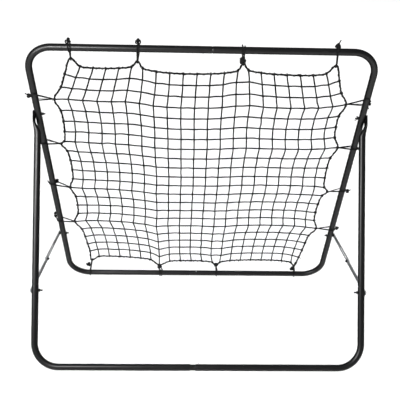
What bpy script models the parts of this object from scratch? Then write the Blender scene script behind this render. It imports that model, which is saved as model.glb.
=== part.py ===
"""Rebound net on a folding tube stand.

A square net frame in two halves leans on a U shaped leg frame. Both turn on two bolts with wing
nuts, and a two-bar sliding stay holds each side. The net hangs in the frame on elastic cord ties.
Metres, +Z up, the leg frame to the front (-Y), centred on the origin.
"""
import math

import bpy
import bmesh
import numpy as np
from mathutils import Matrix, Vector

# ---------------------------------------------------------------- driving dimensions
LEAN = math.radians(22.5)       # each frame from the vertical
SIDE = 1.225                    # net frame, centre line to centre line, both ways
LEG_SPAN = 1.2286               # leg frame, centre line to centre line
LEG_LEN = 0.948                 # pivot to the centre line of the floor bar
REAR_LIFT = 0.0018              # the net frame's bar stands on its four flattened ties
NET_LOW = LEG_LEN - REAR_LIFT / math.cos(LEAN)
NET_TOP = SIDE - NET_LOW        # pivot to the centre line of the top bar
BEND = 0.090                    # centre line radius of every bend
SIDES = 16
TUBE_R = 0.0125
WALL = 0.0012
MALE_R = 0.0110                 # swaged ends
KV = 1.0130                     # vertex radius that gives the polygon a circle's area
APO = TUBE_R * KV * math.cos(math.pi / SIDES)
JOINT_X = 0.030                 # end of each outer tube past the middle
MALE_END = 0.048
LEG_JOINT = 0.6405              # upper leg to lower leg
LEG_MALE = 0.700
STAY_S = 0.662                  # both stay bolts, from the pivot
FOLD_DEG = 12.0                 # closing travel that the slots allow
BAR_H = 0.020
OVERLAP = 0.015
BOLT_R = 0.0030
HOLE_R = 0.0036
CELL = 0.050                    # mesh of the net
CELLS = 21
SLACK_X = (0.0363, 0.0498, 0.0363)   # length of a level mesh side: first, middle ones, last
SLACK_S = (0.0431, 0.0490, 0.0484)   # the same for an upright one, from the top
CORD = 0.0015                   # half of the net cord's width
ROPE_R = 0.0025
TIE_R = 0.0019
TAB_TOP = -0.0115
TAB_LOW = 0.026
ROUND_AT = 0.0725
TAB_T = 0.0028
TAB_W = 0.037
MID_X = 0.0                     # moves the origin under the middle of the part's box
MID_Y = -0.0020

ZP = LEG_LEN * math.cos(LEAN) + APO
PIVOT = Vector((MID_X, MID_Y, ZP))
EX = Vector((1.0, 0.0, 0.0))
NET_S = Vector((0.0, math.sin(LEAN), -math.cos(LEAN)))
NET_N = Vector((0.0, math.cos(LEAN), math.sin(LEAN)))
LEG_S = Vector((0.0, -math.sin(LEAN), -math.cos(LEAN)))
LEG_N = Vector((0.0, math.cos(LEAN), -math.sin(LEAN)))

# side, place along that side of the frame, place along the edge of the net in cells,
# where the tie meets the edge rope (x, distance from the pivot line), where its knot sits
TIES = [
    ("top", -0.4610, 0.0, (-0.4605, -0.2375), "far"),
    ("top", -0.2205, 5.5, (-0.2285, -0.2300), "far"),
    ("top", 0.1390, 13.5, (0.1430, -0.2285), "mid"),
    ("top", 0.4660, 21.0, (0.4715, -0.2265), "far"),
    ("right", -0.0720, 3.0, (0.5400, -0.0625), "near"),
    ("right", 0.1470, 7.0, (0.5480, 0.1430), "near"),
    ("right", 0.3780, 11.5, (0.5520, 0.3850), "far"),
    ("right", 0.6200, 16.0, (0.5410, 0.6150), "far"),
    ("bottom", 0.4860, 21.0, (0.4760, 0.8880), "mid"),
    ("bottom", 0.1000, 12.5, (0.0955, 0.8930), "mid"),
    ("bottom", -0.1750, 7.0, (-0.1800, 0.8850), "mid"),
    ("bottom", -0.5220, 0.0, (-0.5030, 0.8530), "mid"),
    ("left", 0.5810, 16.0, (-0.5510, 0.5860), "far"),
    ("left", 0.3615, 12.0, (-0.5430, 0.3765), "mid"),
    ("left", 0.1415, 7.3, (-0.5490, 0.1410), "near"),
    ("left", -0.0740, 3.0, (-0.5425, -0.0660), "far"),
]
EDGE_PULL = 0.0110              # rope to net cord at a tie, before it is worked out for each
ROPE_OFF = 0.0042               # rope to net cord elsewhere
EDGE_SAG = 0.130                # depth of each level scallop over its span
EDGE_SAG_LEFT = (0.048, 0.015)  # the same for the upright ones; the second: next to a corner
EDGE_SAG_RIGHT = (0.064, 0.005)
CORNER_CELL = {0: 0.71, 2: 0.71, 8: 0.37, 10: 0.65}   # the edge's cell at a corner over its neighbours,
                                                      # by the tie that its span starts from

# ---------------------------------------------------------------- scene and materials
for old in list(bpy.data.objects):
    bpy.data.objects.remove(old, do_unlink=True)


def material(name, colour, metallic, rough):
    m = bpy.data.materials.new(name)
    m.use_nodes = True
    p = m.node_tree.nodes["Principled BSDF"]
    p.inputs["Base Color"].default_value = (*colour, 1.0)
    p.inputs["Metallic"].default_value = metallic
    p.inputs["Roughness"].default_value = rough
    return m


def add(name, bm, colour=(0.02, 0.02, 0.022), metallic=0.3, rough=0.4):
    bmesh.ops.recalc_face_normals(bm, faces=bm.faces)
    me = bpy.data.meshes.new(name)
    bm.to_mesh(me)
    bm.free()
    me.shade_smooth()
    me.set_sharp_from_angle(angle=math.radians(35))
    ob = bpy.data.objects.new(name, me)
    bpy.context.collection.objects.link(ob)
    me.materials.append(material(name + "_mat", colour, metallic, rough))
    return ob


BLACK = dict(colour=(0.018, 0.018, 0.020), metallic=0.3, rough=0.35)
ZINC = dict(colour=(0.45, 0.46, 0.48), metallic=0.9, rough=0.35)
BLACK_ZINC = dict(colour=(0.03, 0.03, 0.032), metallic=0.8, rough=0.4)
CORD_M = dict(colour=(0.02, 0.02, 0.02), metallic=0.0, rough=0.9)


def cut(target, bm_cutter):
    bmesh.ops.recalc_face_normals(bm_cutter, faces=bm_cutter.faces)
    me = bpy.data.meshes.new("cut_" + target.name)
    bm_cutter.to_mesh(me)
    bm_cutter.free()
    ob = bpy.data.objects.new("cut_" + target.name, me)
    bpy.context.collection.objects.link(ob)
    ob.hide_render = True
    ob.display_type = "WIRE"
    mod = target.modifiers.new("holes", "BOOLEAN")
    mod.operation = "DIFFERENCE"
    mod.solver = "EXACT"
    mod.object = ob


# ---------------------------------------------------------------- mesh helpers
def ring(bm, pts):
    return [bm.verts.new(p) for p in pts]


def bridge(bm, a, b):
    n = len(a)
    for i in range(n):
        bm.faces.new((a[i], a[(i + 1) % n], b[(i + 1) % n], b[i]))


def skin(bm, rings, closed=False, caps=True):
    for a, b in zip(rings, rings[1:]):
        bridge(bm, a, b)
    if closed:
        bridge(bm, rings[-1], rings[0])
    elif caps:
        bm.faces.new(rings[0])
        bm.faces.new(rings[-1])


def cylinder(bm, p0, p1, radius, n=8, turn=0.5):
    axis = (p1 - p0).normalized()
    ref = Vector((0, 0, 1)) if abs(axis.z) < 0.9 else Vector((1, 0, 0))
    u = axis.cross(ref).normalized()
    v = axis.cross(u)
    out = []
    for p in (p0, p1):
        out.append(ring(bm, [p + radius * (math.cos((k + turn) * 2 * math.pi / n) * u
                                           + math.sin((k + turn) * 2 * math.pi / n) * v)
                             for k in range(n)]))
    skin(bm, out)


def lathe(bm, centre, axis, profile, n=12, hexed=()):
    """profile: (distance along axis, radius) from one end to the other; radius 0 ends close it."""
    axis = axis.normalized()
    ref = Vector((0, 0, 1))
    u = axis.cross(ref).normalized()
    v = axis.cross(u)
    rings = []
    for i, (h, r) in enumerate(profile):
        pts = []
        for k in range(n):
            a = k * 2 * math.pi / n
            rr = r
            if i in hexed and k % 2:
                rr = r * math.cos(math.pi / 6)
            pts.append(centre + axis * h + rr * (math.cos(a) * u + math.sin(a) * v))
        rings.append(ring(bm, pts))
    return rings


def solid_of_turn(bm, centre, axis, profile, n=12, hexed=()):
    skin(bm, lathe(bm, centre, axis, profile, n, hexed))


def ring_of_turn(bm, centre, axis, outer, inner, n=12, hexed=()):
    """closed ring: outer profile forward, then the bore profile back"""
    a = lathe(bm, centre, axis, outer, n, hexed)
    b = lathe(bm, centre, axis, inner, n)
    skin(bm, a + b, closed=True)


# ---------------------------------------------------------------- tubes
def section(centre, side, normal, r):
    return [centre + r * (math.cos((k + 0.5) * 2 * math.pi / SIDES) * side
                          + math.sin((k + 0.5) * 2 * math.pi / SIDES) * normal)
            for k in range(SIDES)]


def frame_point(s_axis, x, s):
    return PIVOT + EX * x + s_axis * s


def run(path, s_axis, n_axis):
    """path: (x, s, direction angle, outer radius) -> centre, sideways vector for each station"""
    out = []
    for x, s, ang, r_out, r_in in path:
        t = EX * math.cos(ang) + s_axis * math.sin(ang)
        side = t.cross(n_axis).normalized()
        out.append((frame_point(s_axis, x, s), side, r_out, r_in))
    return out


def hollow(name, path, s_axis, n_axis, look=BLACK):
    bm = bmesh.new()
    st = run(path, s_axis, n_axis)
    outer = [ring(bm, section(c, d, n_axis, ro * KV)) for c, d, ro, ri in st]
    inner = [ring(bm, section(c, d, n_axis, ri * KV)) for c, d, ro, ri in st]
    skin(bm, outer, caps=False)
    skin(bm, inner, caps=False)
    bridge(bm, outer[0], inner[0])
    bridge(bm, outer[-1], inner[-1])
    return add(name, bm, **look)


def bend(cx, cs, a0, a1, steps=8, r=BEND):
    """stations on an arc about (cx, cs); the direction runs along increasing or falling angle"""
    sign = 1.0 if a1 > a0 else -1.0
    out = []
    for i in range(steps + 1):
        a = a0 + (a1 - a0) * i / steps
        out.append((cx + r * math.cos(a), cs + r * math.sin(a), a + sign * math.pi / 2,
                    TUBE_R, TUBE_R - WALL))
    return out


FULL = (TUBE_R, TUBE_R - WALL)
MALE = (MALE_R, MALE_R - WALL)
H = SIDE / 2
PI = math.pi


def c_half(name, sx):
    """sx -1: left half. The female end is at the top of the left half and at the bottom of the
    right half, so that the two halves are the same part turned over."""
    female, male = (-NET_TOP, NET_LOW) if sx < 0 else (NET_LOW, -NET_TOP)
    down = 1.0 if sx < 0 else -1.0
    path = [(-sx * JOINT_X, female, PI if sx < 0 else 0.0, *FULL)]
    if sx < 0:
        path += bend(-H + BEND, -NET_TOP + BEND, -PI / 2, -PI)
        path += bend(-H + BEND, NET_LOW - BEND, PI, PI / 2)
        path += [(-JOINT_X - 0.0040, NET_LOW, 0.0, *FULL),
                 (-JOINT_X - 0.0006, NET_LOW, 0.0, *MALE),
                 (MALE_END, NET_LOW, 0.0, *MALE)]
    else:
        path += bend(H - BEND, NET_LOW - BEND, PI / 2, 0.0)
        path += bend(H - BEND, -NET_TOP + BEND, 0.0, -PI / 2)
        path += [(JOINT_X + 0.0040, -NET_TOP, PI, *FULL),
                 (JOINT_X + 0.0006, -NET_TOP, PI, *MALE),
                 (-MALE_END, -NET_TOP, PI, *MALE)]
    ob = hollow(name, path, NET_S, NET_N)
    c = bmesh.new()
    # button holes: the top bar's faces down into the frame, the bottom bar's up into it
    top0 = frame_point(NET_S, 0, -NET_TOP)
    low0 = frame_point(NET_S, 0, NET_LOW)
    cylinder(c, top0 + NET_S * 0.004, top0 + NET_S * 0.020, 0.0037)
    cylinder(c, low0 - NET_S * 0.004, low0 - NET_S * 0.020, 0.0037)
    for s in (0.0, STAY_S):
        p = frame_point(NET_S, sx * H, s)
        cylinder(c, p - EX * 0.020, p + EX * 0.020, HOLE_R)
    cut(ob, c)
    return ob


def lower_leg(name, sx):
    h = LEG_SPAN / 2
    path = [(sx * h, LEG_JOINT, PI / 2, *FULL)]
    if sx < 0:
        path += bend(-h + BEND, LEG_LEN - BEND, PI, PI / 2)
        path += [(-JOINT_X - 0.0040, LEG_LEN, 0.0, *FULL),
                 (-JOINT_X - 0.0006, LEG_LEN, 0.0, *MALE),
                 (MALE_END, LEG_LEN, 0.0, *MALE)]
    else:
        path += bend(h - BEND, LEG_LEN - BEND, 0.0, PI / 2)
        path += [(-JOINT_X, LEG_LEN, PI, *FULL)]
    ob = hollow(name, path, LEG_S, LEG_N)
    c = bmesh.new()
    low0 = frame_point(LEG_S, 0, LEG_LEN)
    cylinder(c, low0 - LEG_S * 0.004, low0 - LEG_S * 0.020, 0.0037)
    p = frame_point(LEG_S, sx * h, STAY_S)
    cylinder(c, p - EX * 0.020, p + EX * 0.020, HOLE_R)
    cut(ob, c)
    return ob


def upper_leg(name, sx):
    """round tube, flattened to a tab outside the net frame at the top, swaged at the bottom"""
    h = LEG_SPAN / 2
    bm = bmesh.new()
    tab_x = H + APO + 0.0020 + TAB_T / 2
    side = EX * sx
    rings = []
    # the tab: (distance, half width) with a rounded top
    for s, w in ((TAB_TOP, 0.009), (TAB_TOP + 0.0035, 0.0150), (TAB_TOP + 0.010, TAB_W / 2),
                 (TAB_LOW, TAB_W / 2)):
        rings.append(ring(bm, flat_section(sx, tab_x, s, TAB_T / 2, w)))
    steps = 5
    for i in range(1, steps + 1):
        f = i / steps
        g = f * f * (3 - 2 * f)
        s = TAB_LOW + (ROUND_AT - TAB_LOW) * f
        x = tab_x + (h - tab_x) * g
        tx = TAB_T / 2 + (APO - TAB_T / 2) * g
        w = TAB_W / 2 + (APO - TAB_W / 2) * (f ** 0.9)
        rings.append(ring(bm, blend_section(sx, x, s, tx, w, g)))
    for s, r in ((LEG_JOINT - 0.0040, TUBE_R), (LEG_JOINT - 0.0006, MALE_R), (LEG_MALE, MALE_R)):
        rings.append(ring(bm, section(frame_point(LEG_S, sx * h, s), side, LEG_N * sx, r * KV)))
    bore = []
    for s, k in ((0.058, 0.45), (0.066, 0.8), (0.078, 1.0)):
        g = k
        x = h + 0.0025 * (1 - k)
        bore.append(ring(bm, section(frame_point(LEG_S, sx * x, s), side, LEG_N * sx,
                                     (TUBE_R - WALL) * KV * g)))
    for s, r in ((LEG_JOINT - 0.0060, TUBE_R - WALL), (LEG_JOINT - 0.0020, MALE_R - WALL),
                 (LEG_MALE, MALE_R - WALL)):
        bore.append(ring(bm, section(frame_point(LEG_S, sx * h, s), side, LEG_N * sx, r * KV)))
    skin(bm, rings, caps=False)
    skin(bm, bore, caps=False)
    bm.faces.new(rings[0])
    bm.faces.new(bore[0])
    bridge(bm, rings[-1], bore[-1])
    ob = add(name, bm, **BLACK)
    c = bmesh.new()
    for s, x in ((0.0, tab_x), (STAY_S, h)):
        p = frame_point(LEG_S, sx * x, s)
        cylinder(c, p - EX * 0.020, p + EX * 0.020, HOLE_R)
    cut(ob, c)
    return ob


def flat_section(sx, x, s, tx, w):
    """sixteen points round a flat bar section with small chamfers"""
    return blend_section(sx, x, s, tx, w, 0.0)


def blend_section(sx, x, s, tx, w, g):
    """between a flat bar section (g 0) and the tube's polygon (g 1)"""
    c = frame_point(LEG_S, sx * x, s)
    ch = min(tx * 0.5, 0.0010)
    pts = []
    for k in range(SIDES):
        a = (k + 0.5) * 2 * PI / SIDES
        ca, sa = math.cos(a), math.sin(a)
        # rounded bar: long sides along the normal
        q = k % 8
        fx = (1, 1, 1, 1, -1, -1, -1, -1)[q] if k < 8 else -(1, 1, 1, 1, -1, -1, -1, -1)[q]
        px = {0: tx, 1: tx, 2: tx, 3: tx - ch, 4: -tx + ch, 5: -tx, 6: -tx, 7: -tx}
        py = {0: w * 0.2, 1: w * 0.55, 2: w - ch, 3: w, 4: w, 5: w - ch, 6: w * 0.55, 7: w * 0.2}
        if k < 8:
            bx, by = px[q], py[q]
        else:
            bx, by = -px[q], -py[q]
        rx = tx / math.cos(PI / SIDES) * ca
        ry = w / math.cos(PI / SIDES) * sa
        X = bx + (rx - bx) * g
        Y = by + (ry - by) * g
        pts.append(c + EX * (sx * X) + LEG_N * (sx * Y))
    return pts


# ---------------------------------------------------------------- snap buttons
def button(name, origin, up, along):
    """origin on the bar's centre line, up out of the bar, along the bar"""
    across = up.cross(along).normalized()
    bm = bmesh.new()
    lo, hi = 0.0080, 0.0090
    half_l, half_w = 0.015, 0.0030
    n = 8
    # leaf with the pin standing on it, in one skin
    leaf_low = ring(bm, [origin + up * lo + along * x + across * y
                         for x, y in rect_points(half_l, half_w)])
    leaf_top = ring(bm, [origin + up * hi + along * x + across * y
                         for x, y in rect_points(half_l, half_w)])
    bm.faces.new(leaf_low)
    bridge(bm, leaf_low, leaf_top)
    prev = leaf_top
    for h, r in ((hi, 0.00285), (0.0140, 0.00285), (0.0147, 0.0022), (0.0150, 0.0010)):
        cur = ring(bm, [origin + up * h + r * (math.cos((k + 0.5) * 2 * PI / n) * along
                                               + math.sin((k + 0.5) * 2 * PI / n) * across)
                        for k in range(n)])
        bridge(bm, prev, cur)
        prev = cur
    bm.faces.new(prev)
    return add(name, bm, **ZINC)


def rect_points(hx, hy):
    """eight points of a rectangle, matching eight points of a circle at half steps"""
    return [(hx, hy * 0.5), (0.004, hy), (-0.004, hy), (-hx, hy * 0.5),
            (-hx, -hy * 0.5), (-0.004, -hy), (0.004, -hy), (hx, -hy * 0.5)]


def clip(name, origin, up, along):
    """the lower leaf of the spring clip and its bend, inside the swaged end"""
    across = up.cross(along).normalized()
    bm = bmesh.new()
    t = 0.0010
    path = [(-0.016, -0.0085), (0.014, -0.0085), (0.0195, -0.0068), (0.0220, -0.0035),
            (0.0225, 0.0), (0.0215, 0.0030)]
    left, right = [], []
    for i, (x, y) in enumerate(path):
        a = path[max(i - 1, 0)]
        b = path[min(i + 1, len(path) - 1)]
        d = Vector((b[0] - a[0], b[1] - a[1])).normalized()
        nx, ny = -d.y, d.x
        left.append((x + nx * t / 2, y + ny * t / 2))
        right.append((x - nx * t / 2, y - ny * t / 2))
    outline = left + right[::-1]
    rings = []
    for w in (-0.0028, 0.0028):
        rings.append(ring(bm, [origin + along * x + up * y + across * w for x, y in outline]))
    n = len(outline)
    bridge(bm, rings[0], rings[1])
    m = len(path)
    for r in rings:
        for i in range(m - 1):
            bm.faces.new((r[i], r[i + 1], r[n - 2 - i], r[n - 1 - i]))
    return add(name, bm, **ZINC)


# ---------------------------------------------------------------- bolts and nuts
def bolt(name, point, out, head_at, tip_at, look=BLACK_ZINC):
    """point on the axis; out points away from the frame; distances along out from the point"""
    bm = bmesh.new()
    prof = [(tip_at, BOLT_R - 0.0008), (tip_at + 0.0010, BOLT_R), (head_at, BOLT_R),
            (head_at, 0.0066), (head_at + 0.0012, 0.0065), (head_at + 0.0026, 0.0052),
            (head_at + 0.0037, 0.0024)]
    solid_of_turn(bm, point, out, prof, n=10)
    return add(name, bm, **look)


def nut(name, point, out, near, far, look=BLACK_ZINC):
    """hexagon nut between the distances near and far along out"""
    bm = bmesh.new()
    lo, hi = min(near, far), max(near, far)
    ring_of_turn(bm, point, out, [(lo, 0.0050), (lo + 0.0005, 0.00575), (hi - 0.0005, 0.00575), (hi, 0.0050)],
                 [(hi, 0.0034), (lo, 0.0034)], n=12, hexed=(1, 2))
    return add(name, bm, **look)


def washer(name, point, out, a, b, r_out=0.0075, look=BLACK_ZINC):
    bm = bmesh.new()
    lo, hi = min(a, b), max(a, b)
    ring_of_turn(bm, point, out, [(lo, r_out), (hi, r_out)], [(hi, 0.0035), (lo, 0.0035)], n=12)
    return add(name, bm, **look)


def wing_nut(name, point, out, base, wing):
    """base: distance along out of its face on the tube; it reaches away from there, inwards;
    wing: the direction that its wings point in"""
    bm = bmesh.new()
    ring_of_turn(bm, point, out, [(base, 0.0062), (base - 0.0050, 0.0056), (base - 0.0075, 0.0047)],
                 [(base - 0.0075, 0.0034), (base, 0.0034)], n=12)
    ob = add(name, bm, **BLACK_ZINC)
    tool = bmesh.new()
    # two wings as tapering plates that start inside the barrel wall
    side = out.cross(wing).normalized()
    for sg in (-1, 1):
        pts = []
        for d, a, t in ((0.0044, -0.0020, 0.0014), (0.0044, -0.0070, 0.0012),
                        (0.0145, -0.0125, 0.0009), (0.0125, -0.0050, 0.0011)):
            pts.append((d, a, t))
        lower = ring(tool, [point + wing * (sg * d) + out * (base + a) - side * t for d, a, t in pts])
        upper = ring(tool, [point + wing * (sg * d) + out * (base + a) + side * t for d, a, t in pts])
        bridge(tool, lower, upper)
        tool.faces.new(lower)
        tool.faces.new(upper)
    bmesh.ops.recalc_face_normals(tool, faces=tool.faces)
    me = bpy.data.meshes.new("wings_" + name)
    tool.to_mesh(me)
    tool.free()
    wob = bpy.data.objects.new("wings_" + name, me)
    bpy.context.collection.objects.link(wob)
    wob.hide_render = True
    wob.display_type = "WIRE"
    mod = ob.modifiers.new("wings", "BOOLEAN")
    mod.operation = "UNION"
    mod.solver = "EXACT"
    mod.object = wob
    return ob


# ---------------------------------------------------------------- stay bars
def stay_point(x, y, dz=0.0):
    return Vector((MID_X + x, MID_Y + y, ZP - STAY_S * math.cos(LEAN) + dz))


def bar(name, x_in, x_out, sx, y0, y1, look=ZINC):
    """flat bar along Y between two bolt centres, with rounded ends past them"""
    bm = bmesh.new()
    h = BAR_H / 2
    e = 0.012
    ends = []
    for sg, y in ((1, y1), (-1, y0)):
        for k in range(5):
            a = math.radians(-70 + 35 * k)
            ends.append((y + sg * e * math.cos(a), sg * h * math.sin(a) / math.sin(math.radians(70))))
    rings = []
    for x in (x_in, x_out):
        rings.append(ring(bm, [stay_point(sx * x, y, dz) for y, dz in ends]))
    skin(bm, rings)
    return add(name, bm, **look)


def slot_cutter(sx, y0, y1, r):
    c = bmesh.new()
    pts = []
    for sg, y in ((1, y1), (-1, y0)):
        for k in range(5):
            a = math.radians(-90 + 45 * k)
            pts.append((y + sg * r * math.cos(a), sg * r * math.sin(a)))
    rings = []
    for x in (0.620, 0.640):
        rings.append(ring(c, [stay_point(sx * x, y, dz) for y, dz in pts]))
    skin(c, rings)
    return c


# ---------------------------------------------------------------- net
def relaxed_net(pulls):
    """places of the 22 by 22 crossings (x, s) hung from the ties, by relaxing stretched cords"""
    n = CELLS + 1
    half = CELLS * CELL / 2
    mid = (-NET_TOP + NET_LOW) / 2
    gx, gs = np.meshgrid(np.linspace(-half, half, n), np.linspace(mid - half, mid + half, n),
                         indexing="ij")
    pos = np.stack([gx, gs], axis=2)
    extra, fixed = [], {}
    for (side, along, idx, (ax, as_), knot), pull in zip(TIES, pulls):
        p = np.array([ax, as_]) + pull
        i0 = int(math.floor(idx + 1e-9))
        if abs(idx - i0) < 1e-6:
            key = {"top": (i0, 0), "bottom": (i0, CELLS), "left": (0, i0), "right": (CELLS, i0)}[side]
            fixed[key] = p
        else:
            a, b = {"top": ((i0, 0), (i0 + 1, 0)), "bottom": ((i0, CELLS), (i0 + 1, CELLS)),
                    "left": ((0, i0), (0, i0 + 1)), "right": ((CELLS, i0), (CELLS, i0 + 1))}[side]
            extra.append((a, b, idx - i0, p))
    free = np.ones((n, n, 1))
    for (i, j), p in fixed.items():
        pos[i, j] = p
        free[i, j] = 0.0
    stiff_edge, stiff_short = 14.0, 0.08
    # every span of the edge between two ties has its own length of rope
    where = {"top": lambda q: q, "right": lambda q: CELLS + q,
             "bottom": lambda q: 3 * CELLS - q, "left": lambda q: 4 * CELLS - q}
    hooks = []
    for side, along, idx, apex, knot in TIES:
        i0 = int(math.floor(idx + 1e-9))
        key = {"top": (i0, 0), "bottom": (i0, CELLS), "left": (0, i0), "right": (CELLS, i0)}[side]
        if abs(idx - i0) < 1e-6:
            p = fixed[key]
        else:
            p = [e[3] for e in extra if e[0] == key][0]
        hooks.append((where[side](idx) % (4 * CELLS), p, idx in (0.0, 21.0)))
    per_cell = []
    for k, (u0, p0, c0) in enumerate(hooks):
        u1, p1, c1 = hooks[(k + 1) % len(hooks)]
        cells = (u1 - u0) % (4 * CELLS)
        if abs(p1[1] - p0[1]) > abs(p1[0] - p0[0]):
            sag = (EDGE_SAG_RIGHT if p0[0] > 0 else EDGE_SAG_LEFT)[1 if c0 or c1 else 0]
            small = 1.0
        else:
            sag = EDGE_SAG
            small = CORNER_CELL.get(k, 1.0)
        one = float(np.linalg.norm(p1 - p0)) * (1 + 8 / 3 * sag * sag) / (cells - 1 + small)
        per_cell += [(u0, u0 + 1, one * (small if c0 else 1.0)), (u0 + 1, u0 + cells - 1, one),
                     (u0 + cells - 1, u0 + cells, one * (small if c1 else 1.0))]

    def rest_at(u):
        for a, b, r in per_cell:
            if a <= u < b or a <= u + 4 * CELLS < b:
                return r
        return CELL

    kx = np.ones((n - 1, n))
    ky = np.ones((n, n - 1))
    rx = np.full((n - 1, n), SLACK_X[1])
    ry = np.full((n, n - 1), SLACK_S[1])
    rx[0], rx[-1] = SLACK_X[0], SLACK_X[2]
    ry[:, 0], ry[:, -1] = SLACK_S[0], SLACK_S[2]
    for i in range(n - 1):
        kx[i, 0] = kx[i, -1] = stiff_edge
        ky[0, i] = ky[-1, i] = stiff_edge
        rx[i, 0] = rest_at(i + 0.5)
        ry[-1, i] = rest_at(CELLS + i + 0.5)
        rx[i, -1] = rest_at(3 * CELLS - i - 0.5)
        ry[0, i] = rest_at(4 * CELLS - i - 0.5)
    for a, b, t, p in extra:
        if a[1] == b[1]:
            kx[a[0], a[1]] = 0.0
        else:
            ky[a[0], a[1]] = 0.0
    vel = np.zeros_like(pos)
    for step in range(6000):
        force = np.zeros_like(pos)
        for axis, k, rest in ((0, kx, rx), (1, ky, ry)):
            d = np.diff(pos, axis=axis)
            length = np.sqrt((d ** 2).sum(axis=2)) + 1e-12
            strain = length - rest
            push = np.where(strain > 0, 1.0, stiff_short)
            f = d * (k * push * strain / length)[:, :, None]
            if axis == 0:
                force[:-1] += f
                force[1:] -= f
            else:
                force[:, :-1] += f
                force[:, 1:] -= f
        for a, b, t, p in extra:
            if a[1] == b[1]:
                u = a[0] if a[1] == 0 else 3 * CELLS - a[0]
                sign = 1 if a[1] == 0 else -1
            else:
                u = CELLS + a[1] if a[0] == CELLS else 4 * CELLS - a[1]
                sign = 1 if a[0] == CELLS else -1
            for q, frac, v in ((a, t, u + sign * t * 0.5), (b, 1 - t, u + sign * (1 + t) * 0.5)):
                d = p - pos[q]
                length = math.sqrt(float((d ** 2).sum())) + 1e-12
                f = stiff_edge / max(frac, 0.3) * (length - rest_at(v) * frac) * d / length
                force[q] += f
        vel = (vel * 0.97 + force * 0.012) * free
        pos = pos + vel
    return pos, extra


def tie_frame_point(side, along):
    return {"top": (along, -NET_TOP), "bottom": (along, NET_LOW),
            "left": (-H, along), "right": (H, along)}[side]


def net_point(x, s, n=0.0):
    return PIVOT + EX * float(x) + NET_S * float(s) + NET_N * float(n)


def build_net(pos, extra):
    n = CELLS + 1
    bm = bmesh.new()
    h = CORD
    v = {}
    for i in range(n):
        for j in range(n):
            x, s = pos[i, j]
            for dx in (-1, 1):
                for ds in (-1, 1):
                    for dn in (-1, 1):
                        v[i, j, dx, ds, dn] = bm.verts.new(net_point(x + dx * h, s + ds * h, dn * h))
    mids = {(a, b): p for a, b, t, p in extra}
    for i in range(n):
        for j in range(n):
            for dn in (-1, 1):
                bm.faces.new([v[i, j, dx, ds, dn] for dx, ds in ((-1, -1), (1, -1), (1, 1), (-1, 1))])
            right = [v[i, j, 1, ds, dn] for ds, dn in ((-1, -1), (1, -1), (1, 1), (-1, 1))]
            low = [v[i, j, dx, 1, dn] for dx, dn in ((-1, -1), (1, -1), (1, 1), (-1, 1))]
            if i < n - 1:
                left2 = [v[i + 1, j, -1, ds, dn] for ds, dn in ((-1, -1), (1, -1), (1, 1), (-1, 1))]
                p = mids.get(((i, j), (i + 1, j)))
                if p is None:
                    bridge(bm, right, left2)
                else:
                    m = ring(bm, [net_point(p[0], p[1] + ds * h, dn * h)
                                  for ds, dn in ((-1, -1), (1, -1), (1, 1), (-1, 1))])
                    bridge(bm, right, m)
                    bridge(bm, m, left2)
            else:
                bm.faces.new(right)
            if i == 0:
                bm.faces.new([v[i, j, -1, ds, dn] for ds, dn in ((-1, -1), (1, -1), (1, 1), (-1, 1))])
            if j < n - 1:
                top2 = [v[i, j + 1, dx, -1, dn] for dx, dn in ((-1, -1), (1, -1), (1, 1), (-1, 1))]
                p = mids.get(((i, j), (i, j + 1)))
                if p is None:
                    bridge(bm, low, top2)
                else:
                    m = ring(bm, [net_point(p[0] + dx * h, p[1], dn * h)
                                  for dx, dn in ((-1, -1), (1, -1), (1, 1), (-1, 1))])
                    bridge(bm, low, m)
                    bridge(bm, m, top2)
            else:
                bm.faces.new(low)
            if j == 0:
                bm.faces.new([v[i, j, dx, -1, dn] for dx, dn in ((-1, -1), (1, -1), (1, 1), (-1, 1))])
    return add("net", bm, **CORD_M)


def edge_line(pos, extra):
    """the rope's corner points (x, s) round the net, pulled out to each tie"""
    n = CELLS + 1
    order = [(i, 0) for i in range(n)] + [(CELLS, j) for j in range(1, n)]
    order += [(i, CELLS) for i in range(n - 2, -1, -1)] + [(0, j) for j in range(n - 2, 0, -1)]
    apex = {}
    apex_mid = {}
    for side, along, idx, (ax, as_), knot in TIES:
        i0 = int(math.floor(idx + 1e-9))
        if abs(idx - i0) < 1e-6:
            key = {"top": (i0, 0), "bottom": (i0, CELLS), "left": (0, i0), "right": (CELLS, i0)}[side]
            apex[key] = (ax, as_)
        else:
            a, b = {"top": ((i0, 0), (i0 + 1, 0)), "bottom": ((i0, CELLS), (i0 + 1, CELLS)),
                    "left": ((0, i0), (0, i0 + 1)), "right": ((CELLS, i0), (CELLS, i0 + 1))}[side]
            apex_mid[frozenset((a, b))] = (ax, as_)
    pts = []
    count = len(order)
    for k, q in enumerate(order):
        if q in apex:
            pts.append(np.array(apex[q]))
        else:
            a = pos[order[k - 1]]
            b = pos[order[(k + 1) % count]]
            t = (b - a) / np.linalg.norm(b - a)
            out = np.array([t[1], -t[0]])
            pts.append(pos[q] + out * ROPE_OFF)
        nxt = order[(k + 1) % count]
        m = apex_mid.get(frozenset((q, nxt)))
        if m is not None:
            pts.append(np.array(m))
    return pts


def hook(line, apex):
    """at a tie: unit vector from the rope's corner into the net, how far the loop's centre line
    passes inside the corner, and how far inside it the net cord has to stay"""
    here = np.array(apex)
    at = min(range(len(line)), key=lambda k: float(np.hypot(*(line[k] - here))))
    e0 = line[at - 1] - here
    e1 = line[(at + 1) % len(line)] - here
    e0 = e0 / np.linalg.norm(e0)
    e1 = e1 / np.linalg.norm(e1)
    b = e0 + e1
    b = b / np.linalg.norm(b)
    half_angle = math.acos(float(b @ e0))
    reach = (TIE_R + 0.0003) / math.tan(half_angle) + ROPE_R / math.sin(half_angle) + 0.0004 + TIE_R
    return b, reach, reach + TIE_R + 0.0008 + CORD * 1.42


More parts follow.
